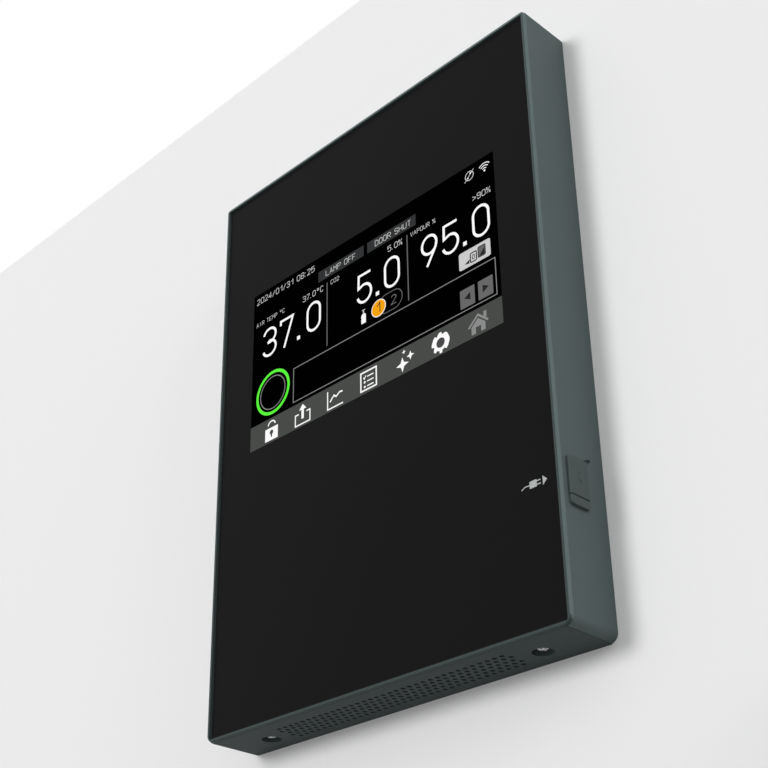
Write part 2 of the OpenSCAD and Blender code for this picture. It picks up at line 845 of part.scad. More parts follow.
module gas_sensor() {
    color("white") translate([sensor_x, 0, chamber_z1 - sensor_drop]) {
        bar_y(gas_sensor_d, chamber_y1 - fit - gas_sensor_l, chamber_y1 - fit);
        bar_y(gas_sensor_d + 8, chamber_y1 - fit - 3, chamber_y1 - fit);
    }
}

module temperature_probe() {
    color("silver") translate([-sensor_x, 0, chamber_z1 - sensor_drop]) {
        bar_y(probe_d, chamber_y1 - fit - probe_l, chamber_y1 - fit);
        bar_y(probe_d + 9, chamber_y1 - fit - 4, chamber_y1 - fit);
    }
}

// Inner door

module inner_door_seal() {
    w = door_glass_w - 4;
    h = door_glass_h - 4;
    color("white") translate([0, 0, chamber_zm]) deep(seal_back - inner_seal_t, seal_back)
        difference() {
            rounded(w, h, 16);
            rounded(w - 2 * inner_seal_w, h - 2 * inner_seal_w, 10);
        }
}

module inner_door_glass() {
    color("lightcyan") translate([0, 0, chamber_zm]) deep(glass_y0, glass_y1)
        rounded(door_glass_w, door_glass_h, 14);
}

// Heights of the middles of the two inner hinges
function inner_hinge_z(i) = chamber_zm + i * (door_glass_h / 2 - inner_hinge_inset);

// A knuckle and a plate glued to the front of the glass
module inner_hinge_clamps() {
    h = inner_knuckle_h;
    color("silver") for (i = [-1, 1]) translate([0, 0, inner_hinge_z(i) - h / 2]) difference() {
        union() {
            translate([inner_axis_x, inner_axis_y, 0]) cylinder(d = inner_knuckle_d, h = h);
            block([inner_axis_x, glass_y0 - clamp_t, 0], [inner_axis_x + clamp_l, glass_y0, h]);
        }
        translate([inner_axis_x, inner_axis_y, -1])
            cylinder(d = inner_pin_d + 2 * running, h = h + 2);
        block([inner_axis_x - inner_knuckle_d, glass_y0, -1], [1 - door_glass_w / 2, glass_y1, h + 1]);
    }
}

// A pin between two ears on the pocket's wall
module inner_hinge_posts() {
    h = inner_knuckle_h;
    ear = 4;
    color("silver") for (i = [-1, 1]) translate([0, 0, inner_hinge_z(i) - h / 2]) {
        translate([inner_axis_x, inner_axis_y, -fit - ear / 2])
            cylinder(d = inner_pin_d, h = h + 2 * fit + ear);
        for (z = [-fit - ear, h + fit]) {
            translate([inner_axis_x, inner_axis_y, z]) cylinder(d = inner_knuckle_d - 1, h = ear);
            block([-pocket_x, inner_axis_y - inner_knuckle_d / 2 + 0.5, z],
                  [inner_axis_x, inner_axis_y + inner_knuckle_d / 2 - 0.5, z + ear]);
        }
    }
}

// A bow handle on the glass
module inner_door_grip() {
    x = door_glass_w / 2 - grip_inset;
    y = glass_y0 - grip_reach;
    color("dimgray") translate([x, 0, chamber_zm]) {
        for (z = [-grip_l / 2, grip_l / 2 - 12])
            block([-grip_w / 2, y, z], [grip_w / 2, glass_y0, z + 12]);
        block([-grip_w / 2, y, -grip_l / 2], [grip_w / 2, y + 4, grip_l / 2]);
    }
}

// A magnet holder on the pocket's wall beside the glass's free edge
module magnet_catch() {
    x0 = door_glass_w / 2 + 2;
    color("white") block([x0, glass_y0, chamber_zm - 25], [pocket_x, seal_back, chamber_zm + 25]);
}

// Outer door

module door_skin() {
    color("whitesmoke") translate([0, 0, door_zm]) difference() {
        deep(door_y0, door_y1) rounded(case_w, door_h, door_r);
        deep(door_y0 + sheet_t, door_y1 + 1) rounded(case_w - 2 * sheet_t, door_h - 2 * sheet_t, door_r);
        translate([pin_x, pin_y, -door_h]) cylinder(d = bush_d + 2 * running, h = 2 * door_h);
    }
}

module door_liner() {
    w = case_w - 2 * sheet_t - 2 * fit;
    h = door_h - 2 * sheet_t - 2 * fit;
    color("gainsboro") translate([0, 0, door_zm]) {
        deep(door_y1 - liner_t, door_y1) rounded(w, h, 2);
        deep(door_y1 - liner_t, door_y1 + liner_rise)
            rounded(case_w - 2 * liner_margin, door_h - 2 * liner_margin, 12);
    }
}

module door_insulation() {
    w = case_w - 2 * sheet_t;
    h = door_h - 2 * sheet_t;
    color("lightyellow") translate([0, 0, door_zm]) difference() {
        deep(door_y0 + sheet_t, door_y1 - liner_t) square([w - 2 * door_r, h - 2 * door_r], center = true);
        for (s = [-1, 1]) translate([pin_x, pin_y, s * door_h / 2])
            cylinder(d = bush_d + 2, h = 2 * (pin_l + 6), center = true);
    }
}

module door_seal() {
    w = case_w - 2 * door_seal_inset;
    h = door_h - 2 * door_seal_inset;
    color("lightgray") translate([0, 0, door_zm]) deep(door_y1, case_y0 - 2 * fit) difference() {
        rounded(w, h, 10);
        rounded(w - 2 * door_seal_w, h - 2 * door_seal_w, 4);
    }
}

// A pull bar on two feet
module door_handle() {
    z0 = handle_z1 - handle_l;
    color("darkslategray") translate([handle_x, 0, 0]) {
        translate([0, handle_y0 + handle_t / 2, z0]) linear_extrude(handle_l)
            rounded(handle_w, handle_t, 4);
        for (z = [z0, handle_z1 - handle_foot_l])
            translate([0, 0, z]) block([-handle_w / 2 + 2, handle_y0 + handle_t / 2, 0],
                                       [handle_w / 2 - 2, door_y0, handle_foot_l]);
    }
}

// Flanged bushes that line the door's hinge bores
module hinge_bushes() {
    color("white") for (s = [0, 1]) translate([pin_x, pin_y, s == 0 ? door_z0 : door_z1])
        mirror([0, 0, s]) difference() {
            cylinder(d = bush_d, h = pin_l + 4);
            translate([0, 0, -1]) cylinder(d = pin_d + 2 * running, h = pin_l + 2);
        }
}

// The upper bracket lies on the top of the casing and holds a pin that points down
module hinge_bracket_top() {
    color("silver") {
        block([-half_w + 1, pin_y - bracket_w / 3, case_z1],
              [bracket_w - half_w, case_y0 + bracket_grip, case_z1 + bracket_t]);
        translate([pin_x, pin_y, door_z1 - pin_l])
            cylinder(d = pin_d, h = pin_l + door_top_gap + bracket_t);
    }
}

// The lower bracket is bolted under the casing; its pin and collar carry the door
module hinge_bracket_bottom() {
    color("silver") {
        block([-half_w + 1, pin_y - bracket_w / 3, case_z0 - bracket_t],
              [bracket_w - half_w, case_y0 + foot_inset - foot_pad_d / 2 - 2, case_z0]);
        translate([pin_x, pin_y, case_z0 - bracket_t])
            cylinder(d = pin_d, h = bracket_t + door_bottom_gap + pin_l);
        translate([pin_x, pin_y, case_z0 - bracket_t])
            cylinder(d = bush_d - 1, h = bracket_t + door_bottom_gap - fit);
    }
}

// Control panel

// The panel's outline, with its lower edge on the X axis
module panel_outline(grow = 0) {
    w = panel_w + 2 * grow;
    rl = max(panel_r_low + grow, 0.5);
    rt = max(panel_r_top + grow, 0.5);
    x = w / 2;
    translate([-x + rl, -grow]) square([w - 2 * rl, panel_h / 2]);
    translate([-x, rl - grow]) square([w, panel_h - rl - rt + 2 * grow]);
    translate([-x + rt, panel_h / 2]) square([w - 2 * rt, panel_h / 2 + grow]);
    for (s = [-1, 1]) {
        translate([s * (x - rl), rl - grow]) circle(rl);
        translate([s * (x - rt), panel_h - rt + grow]) circle(rt);
    }
}

// The moulded housing: walls, rim, glass ledge, USB window, screw bosses
module panel_housing() {
    color([0.29, 0.33, 0.33]) at_panel() {
        difference() {
            deep(0, panel_d) panel_outline();
            deep(ledge_back, panel_d + 1) panel_outline(-panel_wall);
            translate([0, 0, panel_h / 2]) {
                deep(-1, cover_back) square([cover_w + 2 * fit, cover_h + 2 * fit], center = true);
                deep(-1, ledge_back + 1)
                    square([cover_w - 2 * glass_ledge, cover_h - 2 * glass_ledge], center = true);
            }
            under_cover_room();
            usb_window();
            usb_notch(panel_w / 2 - usb_notch_d);
        }
        for (s = [-1, 1]) screw_boss(s);
    }
}

// What the underside cover takes out of the housing: its plate, and its walls behind the ledge
module under_cover_room() {
    x = panel_w / 2 - under_cover_side + fit;
    block([-x, under_cover_setback - fit, -1], [x, panel_d + 1, under_cover_t + fit]);
    block([-x, ledge_back + fit, -1], [x, panel_d + 1, under_cover_h + fit]);
}

// A slanting notch for a finger nail at the rubber cover's upper rear corner
module usb_notch(x0) {
    y = usb_y + usb_flap_w / 2;
    z = usb_fold_z + fit / 2 + usb_flap_h;
    w = usb_notch_w;
    h = usb_notch_h;
    translate([x0, 0, 0]) rotate([90, 0, 90]) linear_extrude(2 * panel_wall)
        polygon([[y - w, z + 0.2], [y, z - h], [y + w + 1, z + h + 0.6], [y + w + 0.4, z + h + 1.3]]);
}

// The window for the socket in the right wall
module usb_window() {
    w = usb_open_w + 2 * usb_shell_t + 2 * fit;
    h = usb_open_h + 2 * usb_shell_t + 2 * fit;
    zm = usb_fold_z + usb_flap_h / 2;
    block([panel_w / 2 - 2 * panel_wall, usb_y - w / 2, zm - h / 2],
          [panel_w / 2 + 1, usb_y + w / 2, zm + h / 2]);
}

// A boss on the housing's front ledge that takes a screw of the underside cover
module screw_boss(s) {
    x = s * screw_x;
    z0 = under_cover_h + fit;
    z1 = z0 + screw_l + 3;
    difference() {
        block([x - 6, ledge_back - 1, z0], [x + 6, screw_y + 6, z1]);
        translate([x, screw_y, z0 - 1]) cylinder(d = screw_d + 2 * running, h = screw_l + 2);
    }
}

// The cover of the panel's underside: a flat plate with low walls, the grille and screw recesses
module panel_under_cover() {
    xg = (grille_count / 2 + 1) * grille_pitch;
    x = panel_w / 2 - under_cover_side;
    y0 = cover_plate_y0;
    y1 = panel_d - panel_wall;
    color([0.24, 0.28, 0.28]) at_panel() {
        difference() {
            union() {
                block([-x, under_cover_setback, 0], [x, panel_d, under_cover_t]);
                block([-x, y1, 0], [x, panel_d, under_cover_h]);
                for (s = [-1, 1]) {
                    block([s < 0 ? -x : x - panel_wall, y0, 0],
                          [s < 0 ? panel_wall - x : x, panel_d, under_cover_h]);
                    translate([s * screw_x, screw_y, 0])
                        cylinder(d = screw_recess_d + 3, h = under_cover_h);
                }
            }
            for (s = [-1, 1]) translate([s * screw_x, screw_y, -1]) {
                cylinder(d = screw_recess_d, h = screw_recess_depth + 1);
                cylinder(d = screw_d + 2 * fit, h = under_cover_h + 2);
            }
            block([-xg, y0, -1], [xg, y1, under_cover_t + 1]);
        }
        linear_extrude(under_cover_t) difference() {
            translate([-xg, y0]) square([2 * xg, y1 - y0]);
            grille();
        }
    }
}

// Rows of round holes, every other row one hole shorter
module grille() {
    middle = (grille_rows - 1) / 2;
    for (row = [0 : grille_rows - 1]) {
        count = grille_count - (row % 2 == 0 ? 1 : 0);
        for (i = [0 : count - 1])
            translate([(i - (count - 1) / 2) * grille_pitch, grille_y + (row - middle) * grille_row])
                circle(d = grille_hole_d, $fn = 16);
    }
}

module panel_glass() {
    color([0.11, 0.11, 0.11]) at_panel() translate([0, 0, panel_h / 2])
        deep(glass_recess, cover_back) rounded(cover_w, cover_h, 1);
}

module display_module() {
    color("black") at_panel() translate([0, 0, display_z]) {
        deep(cover_back, cover_back + display_t) square([display_w, display_h], center = true);
        deep(cover_back + display_t, cover_back + display_t + 2) rounded(display_w - 20, display_h - 20, 3);
    }
}

// Parts on the control board: left edge and height as shares of the board, size and thickness
board_parts = [[-0.2, 0.36, 0.2, 3], [0.13, 0.24, 0.09, 2], [-0.4, 0.1, 0.11, 5]];

// The board stands on four spacers on the rear plate
module control_board() {
    y1 = panel_d - back_plate_t;
    y0 = y1 - board_post_l - board_t;
    color("darkgreen") at_panel() {
        block([-board_w / 2, y0, board_z], [board_w / 2, y0 + board_t, board_z + board_h]);
        for (sx = [-1, 1], z = [board_z + 5, board_z + board_h - 5])
            translate([sx * (board_w / 2 - 5), 0, z]) bar_y(5, y0 + board_t, y1);
        for (part = board_parts) {
            x = part[0] * board_w;
            z = board_z + part[1] * board_h;
            block([x, y0 - part[3], z], [x + part[2] * board_w, y0, z + part[2] * board_w]);
        }
    }
}

// The speaker lies on the grille, between the cover's walls
module speaker() {
    color("dimgray") at_panel() translate([0, grille_y, under_cover_t + fit]) {
        cylinder(d = speaker_d, h = speaker_t);
        cylinder(d = speaker_d + 1, h = 1.5);
    }
}

module usb_socket() {
    w = usb_open_w + 2 * usb_shell_t;
    h = usb_open_h + 2 * usb_shell_t;
    zm = usb_fold_z + usb_flap_h / 2;
    x1 = panel_w / 2 - 0.5;
    color("silver") at_panel() {
        difference() {
            block([x1 - usb_l, usb_y - w / 2, zm - h / 2], [x1, usb_y + w / 2, zm + h / 2]);
            block([x1 - usb_l + 1, usb_y - usb_open_w / 2, zm - usb_open_h / 2],
                  [x1 + 1, usb_y + usb_open_w / 2, zm + usb_open_h / 2]);
        }
        block([x1 - usb_l, usb_y + w / 2 - 0.1, zm - h / 2 - 3],
              [x1 - 4, panel_d - back_plate_t, zm + h / 2 + 3]);
    }
}

// The rubber cover folds out along a line parallel to the panel's depth
module usb_cover() {
    x0 = panel_w / 2 + fit / 2;
    z0 = usb_fold_z + fit / 2;
    color([0.27, 0.31, 0.31]) at_panel() difference() {
        block([x0, usb_y - usb_flap_w / 2, z0], [x0 + usb_flap_t, usb_y + usb_flap_w / 2, z0 + usb_flap_h]);
        usb_notch(x0 - 1);
    }
}

module usb_cover_root() {
    x0 = panel_w / 2;
    z1 = usb_fold_z - fit / 2;
    color([0.27, 0.31, 0.31]) at_panel()
        block([x0, usb_y - usb_flap_w / 2, z1 - usb_root_h],
              [x0 + fit / 2 + usb_flap_t, usb_y + usb_flap_w / 2, z1]);
}

// The steel plate that closes the housing and is bolted to the door
module panel_back_plate() {
    z0 = under_cover_h + 2 * fit;
    z1 = panel_h - panel_wall - fit;
    x = panel_w / 2 - panel_wall - fit;
    color("gray") at_panel() difference() {
        block([-x, panel_d - back_plate_t, z0], [x, panel_d, z1]);
        translate([0, 0, panel_h * 0.75]) bar_y(24, 0, panel_d + 1);
    }
}

module panel_screws() {
    color("silver") at_panel() for (s = [-1, 1])
        translate([s * screw_x, screw_y, screw_recess_depth - screw_head_t]) {
            cylinder(d = screw_head_d, h = screw_head_t);
            cylinder(d = screw_d, h = screw_head_t + screw_l);
        }
}

// Rear services

// A shallow box on the rear that covers the power board
module service_cover() {
    x = service_w / 2;
    color("whitesmoke") difference() {
        block([-x, case_y1, service_z0], [x, case_y1 + service_d, service_z1]);
        block([sheet_t - x, case_y1 - 1, service_z0 + sheet_t],
              [x - sheet_t, case_y1 + service_d - sheet_t, service_z1 - sheet_t]);
    }
}

module service_board() {
    x = service_w / 2 - 20;
    y = case_y1 + 5;
    color("darkgreen") {
        block([-x, y, service_z0 + 15], [x, y + board_t, service_z1 - 15]);
        for (sx = [-1, 1], z = [service_z0 + 22, service_z1 - 22])
            translate([sx * (x - 7), 0, z]) bar_y(6, case_y1, y);
    }
}

// A combined inlet: the plug's well below and the rocker's well above, on one flange
module power_inlet() {
    zi = case_z0 + inlet_z;
    color("black") translate([inlet_x, 0, zi]) difference() {
        union() {
            deep(case_y1, case_y1 + inlet_flange_t) rounded(inlet_w, inlet_h, 3);
            deep(rear_in - inlet_d, case_y1) square([inlet_w - 8, inlet_h - 8], center = true);
        }
        translate([0, 0, -10]) deep(case_y1 - 18, case_y1 + inlet_flange_t + 1) square([24, 16], center = true);
        translate([0, 0, 13]) deep(case_y1 - 12, case_y1 + inlet_flange_t + 1) square([25, 13], center = true);
    }
    color("silver") for (x = [-7, 0, 7])
        translate([inlet_x + x, 0, zi - 10 + (x == 0 ? 3 : -1)])
            block([-1, case_y1 - 18.5, -2], [1, case_y1 - 5, 2]);
}

// The rocker, tilted to its on position
module power_switch() {
    y = case_y1 + inlet_flange_t - 4;
    color("dimgray") translate([inlet_x, y, case_z0 + inlet_z + 13]) rotate([-8, 0, 0])
        intersection() {
            block([-12, -8, -5.8], [12, 8, 5.8]);
            bar_x(14, -12, 12);
        }
}

module gas_inlets() {
    color("goldenrod") for (i = [-1, 1]) at_gas(i) difference() {
        union() {
            bar_y(hose_bore, chamber_y1 - 4, case_y1 + gas_flange_t + stem_l);
            translate([0, case_y1, 0]) rotate([-90, 0, 0])
                cylinder(d = gas_hex_w / cos(30), h = gas_flange_t, $fn = 6);
        }
        bar_y(hose_bore - 2.4, chamber_y1 - 5, case_y1 + gas_flange_t + stem_l + 1);
    }
}

module port_sleeve() {
    od = port_d + 2 * port_wall;
    color("white") at_port() difference() {
        union() {
            bar_y(od, chamber_y1 - port_flange_t - fit, case_y1 + port_flange_t);
            bar_y(od + 2 * port_flange, chamber_y1 - port_flange_t - fit, chamber_y1 - fit);
            bar_y(od + 2 * port_flange, case_y1, case_y1 + port_flange_t);
        }
        bar_y(port_d, chamber_y1 - port_flange_t - 2, case_y1 + port_flange_t + 1);
    }
}

// A silicone stopper pushed in from the rear
module port_stopper() {
    y = case_y1 + port_flange_t + fit;
    color("lightgray") at_port() {
        bar_y(port_d - 2 * fit, shell_y1 - 4, y);
        bar_y(stopper_head_d, y, y + stopper_head_t);
    }
}

// Screws of the rear panel, the service box and the hinge brackets
module casing_screws() {
    color("silver") {
        for (sx = [-1, 1], z = [floor_z + screw_inset, (floor_z + roof_z) / 2, roof_z - screw_inset / 2])
            rear_screw(sx * (half_w - screw_inset), case_y1, z);
        for (sx = [-1, 1]) rear_screw(sx * service_w / 5, case_y1, floor_z + screw_inset);
        for (sx = [-1, 1], z = [service_z0 + 12, service_z1 - 12])
            rear_screw(sx * (service_w / 2 - 14), case_y1 + service_d, z);
        for (y = [bracket_grip / 3, bracket_grip * 3 / 4])
            translate([bracket_w / 2 - half_w, case_y0 + y, case_z1 + bracket_t]) {
                cylinder(d = 8, h = 1.8);
                cylinder(d = 6, h = 2.6);
            }
    }
}

side_panel_left();
side_panel_right();
top_panel();
rear_panel();
base_plate();
front_collar();
insulation();
chamber();
shelf_rack_left();
shelf_rack_right();
shelf_1();
shelf_2();
shelf_3();
shelf_4();
humidity_pan();
air_duct_cover();
fan_motor();
fan_shaft();
fan_wheel();
uv_lamp();
lamp_holders();
gas_sensor();
temperature_probe();
inner_door_seal();
inner_hinge_posts();
magnet_catch();
inner_door_glass();
inner_hinge_clamps();
inner_door_grip();
hinge_bracket_top();
hinge_bracket_bottom();
service_cover();
service_board();
power_inlet();
power_switch();
gas_inlets();
port_sleeve();
port_stopper();
casing_screws();
levelling_foot_front_left();
levelling_foot_front_right();
levelling_foot_rear_left();
levelling_foot_rear_right();
door_skin();
door_liner();
door_insulation();
door_seal();
door_handle();
hinge_bushes();
panel_housing();
panel_under_cover();
panel_glass();
display_module();
control_board();
speaker();
usb_socket();
usb_cover();
usb_cover_root();
panel_back_plate();
panel_screws();
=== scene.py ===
"""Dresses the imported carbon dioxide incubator: cabinet, doors and touch-screen control panel.

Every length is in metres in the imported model's frame: X to the right as seen from the front, Y back
into the cabinet and Z up. Fields that end in _mm are in millimetres.
"""

import json
import logging
import math
from dataclasses import dataclass, replace
from enum import Enum
from typing import Callable, Sequence

import bmesh
import bpy
from bmesh.types import BMesh, BMVert
from bpy.types import ID, Material, Mesh, Node, NodeSocket, Object
from mathutils import Matrix, Vector


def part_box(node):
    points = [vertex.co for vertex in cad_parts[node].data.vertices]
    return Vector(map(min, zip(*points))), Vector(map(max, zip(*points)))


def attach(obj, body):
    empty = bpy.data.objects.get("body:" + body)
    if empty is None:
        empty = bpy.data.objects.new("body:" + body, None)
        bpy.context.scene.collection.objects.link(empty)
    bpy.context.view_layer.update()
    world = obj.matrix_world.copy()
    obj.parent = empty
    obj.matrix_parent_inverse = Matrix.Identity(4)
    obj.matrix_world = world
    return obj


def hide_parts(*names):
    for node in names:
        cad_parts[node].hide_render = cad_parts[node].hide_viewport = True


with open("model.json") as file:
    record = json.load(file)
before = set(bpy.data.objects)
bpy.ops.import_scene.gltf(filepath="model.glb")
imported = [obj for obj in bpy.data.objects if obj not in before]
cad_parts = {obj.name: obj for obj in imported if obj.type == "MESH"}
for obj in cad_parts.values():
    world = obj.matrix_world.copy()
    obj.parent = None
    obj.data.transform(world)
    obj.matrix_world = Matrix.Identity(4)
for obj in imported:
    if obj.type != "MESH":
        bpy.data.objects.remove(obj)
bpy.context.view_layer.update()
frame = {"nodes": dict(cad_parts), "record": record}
LOG = logging.getLogger("incubator")
MM = 0.001
MERGE = 1e-6
FLAT_DEGREES = 0.5
WAVE_PERIOD = 0.314
FRONT, REAR, UP = Vector((0, -1, 0)), Vector((0, 1, 0)), Vector((0, 0, 1))
Point = tuple[float, float]


def linear(*levels: float) -> tuple[float, ...]:
    """Turns display levels from 0 to 255 into linear colour values from 0 to 1."""
    return tuple(v / 255 / 12.92 if v <= 10.3 else ((v / 255 + 0.055) / 1.055) ** 2.4 for v in levels)


class Tree:
    """A short way to write node trees."""

    prefix = "ShaderNode"

    def __init__(self, owner: ID) -> None:
        """Empties the node tree of a material or a world."""
        owner.use_nodes = True
        self.tree = owner.node_tree
        self.tree.nodes.clear()

    def add(self, kind: str, settings: dict | None = None, **inputs: object) -> Node:
        """Adds one node.

        Args:
            kind: The node's type, without the prefix that the tree's own nodes share.
            settings: Properties to set on the node.
            inputs: Socket names, with underscores for spaces, or i and the socket's number. Each has
                a value or an output to link.

        Returns:
            The new node.
        """
        node = self.tree.nodes.new(kind if "Node" in kind else self.prefix + kind)
        for key, value in (settings or {}).items():
            setattr(node, key, value)
        for key, value in inputs.items():
            numbered = key[0] == "i" and key[1:].isdigit()
            socket = node.inputs[int(key[1:]) if numbered else key.replace("_", " ")]
            if isinstance(value, NodeSocket):
                self.tree.links.new(value, socket)
            else:
                socket.default_value = value
        return node

    def out(self, kind: str, settings: dict | None = None, **inputs: object) -> NodeSocket:
        """Adds one node, as add does, and gives its first output."""
        return self.add(kind, settings, **inputs).outputs[0]

    def maths(self, operation: str, one: object, two: object) -> NodeSocket:
        """Adds a named operation on two values and gives its result."""
        return self.out("ShaderNodeMath", {"operation": operation}, i0=one, i1=two)

    def object_space(self, stretch: Sequence[float] = (1, 1, 1)) -> NodeSocket:
        """Gives Object coordinates, scaled along X, Y and Z."""
        place = self.add("TexCoord").outputs["Object"]
        return self.out("Mapping", Vector=place, Scale=tuple(stretch))

    def noise(self, vector: NodeSocket, scale: float, detail: float = 3.0) -> NodeSocket:
        """Adds a noise texture and gives its value output."""
        return self.out("TexNoise", Vector=vector, Scale=scale, Detail=detail)

    def span(self, value: NodeSocket, low: float, high: float) -> NodeSocket:
        """Maps a value from 0.3-0.7 to low-high and gives the result."""
        return self.out("MapRange", Value=value, From_Min=0.3, From_Max=0.7, To_Min=low, To_Max=high)

    def blend(self, factor: NodeSocket, low: Sequence[float], high: Sequence[float]) -> NodeSocket:
        """Blends two linear colours and gives the result."""
        mix = self.add("Mix", {"data_type": "RGBA"}, Factor=factor, i6=(*low, 1), i7=(*high, 1))
        return mix.outputs[2]


@dataclass(frozen=True)
class Finish:
    """A surface with a slight drift of colour and gloss and a fine relief.

    A named attribute of the mesh can hold painted light and shade, which the colour is multiplied by.
    """

    name: str
    colour: tuple[int, int, int]
    rough: float = 0.5
    rough_drift: float = 0.06
    colour_drift: float = 0.03
    drift_scale: float = 6.0
    metallic: float = 0.0
    specular: float = 0.5
    relief_mm: float = 0.02
    relief_scale: float = 900.0
    stretch: tuple[float, float, float] = (1, 1, 1)
    # The mesh attribute of painted light and shade that scales the colour; empty for none.
    tone: str = ""

    def material(self) -> Material:
        """Builds the material once, and gives the same one after that.

        Returns:
            The material.
        """
        name = self.name + "_finish"
        if name in bpy.data.materials:
            return bpy.data.materials[name]
        made = bpy.data.materials.new(name)
        tree = Tree(made)
        tree.add("OutputMaterial", i0=self.shader(tree))
        return made

    def shader(self, tree: Tree) -> NodeSocket:
        """Writes the nodes of the finish.

        Args:
            tree: The material's tree.

        Returns:
            The surface.
        """
        place = tree.object_space(self.stretch)
        slow = tree.noise(place, self.drift_scale, 4)
        fine = tree.noise(place, self.relief_scale, 2)
        base = linear(*self.colour)
        dark = [c * (1 - self.colour_drift) for c in base]
        light = [min(c * (1 + self.colour_drift), 1) for c in base]
        colour = tree.blend(slow, dark, light)
        # Painted light and shade: the colour is scaled by a factor stored on the mesh.
        if self.tone:
            tone = tree.add("Attribute", {"attribute_name": self.tone}).outputs["Fac"]
            colour = tree.out("VectorMath", {"operation": "SCALE"}, i0=colour, Scale=tone)
        return tree.out(
            "BsdfPrincipled", Base_Color=colour, Metallic=self.metallic, Specular_IOR_Level=self.specular,
            Roughness=tree.span(slow, self.rough - self.rough_drift, self.rough + self.rough_drift),
            Normal=tree.out("Bump", Height=fine, Strength=0.6, Distance=self.relief_mm * MM))


@dataclass(frozen=True)
class ClearGlass(Finish):
    """Glass that light passes through, with faint smears in its gloss."""

    def shader(self, tree: Tree) -> NodeSocket:
        """Writes the nodes of the glass. Args and Returns as in Finish."""
        slow = tree.noise(tree.object_space(), self.drift_scale, 4)
        base = linear(*self.colour)
        tint = tree.blend(slow, [c * (1 - self.colour_drift) for c in base], base)
        return tree.out("BsdfPrincipled", Base_Color=tint, Transmission_Weight=1.0, IOR=1.45,
                        Roughness=tree.span(slow, self.rough, self.rough + self.rough_drift))


@dataclass(frozen=True)
class Light(Finish):
    """The lit part of a display: one colour with the display's fine rows in it."""

    colour_drift: float = 0.04
    row_mm: float = 1.5

    def shader(self, tree: Tree) -> NodeSocket:
        """Writes the nodes of the light. Args and Returns as in Finish."""
        rows = tree.add("TexWave", {"bands_direction": "Z", "wave_type": "BANDS"},
                        Vector=tree.object_space(), Scale=WAVE_PERIOD / (self.row_mm * MM))
        base = linear(*self.colour)
        glow = tree.blend(rows.outputs[1], [c * (1 - self.colour_drift) for c in base], base)
        return tree.out("Emission", Color=glow, Strength=1.0)


@dataclass(frozen=True)
class Board(Finish):
    """A circuit board: solder mask over faint copper tracks."""

    def shader(self, tree: Tree) -> NodeSocket:
        """Writes the nodes of the board. Args and Returns as in Finish."""
        bricks = tree.out(
            "TexBrick", Vector=tree.object_space((1, 0, 1)), Scale=180.0, Mortar_Size=0.09,
            Color1=(*linear(18, 84, 52), 1), Color2=(*linear(22, 94, 58), 1),
            Mortar=(*linear(46, 128, 78), 1))
        return tree.out("BsdfPrincipled", Base_Color=bricks, Roughness=0.35)


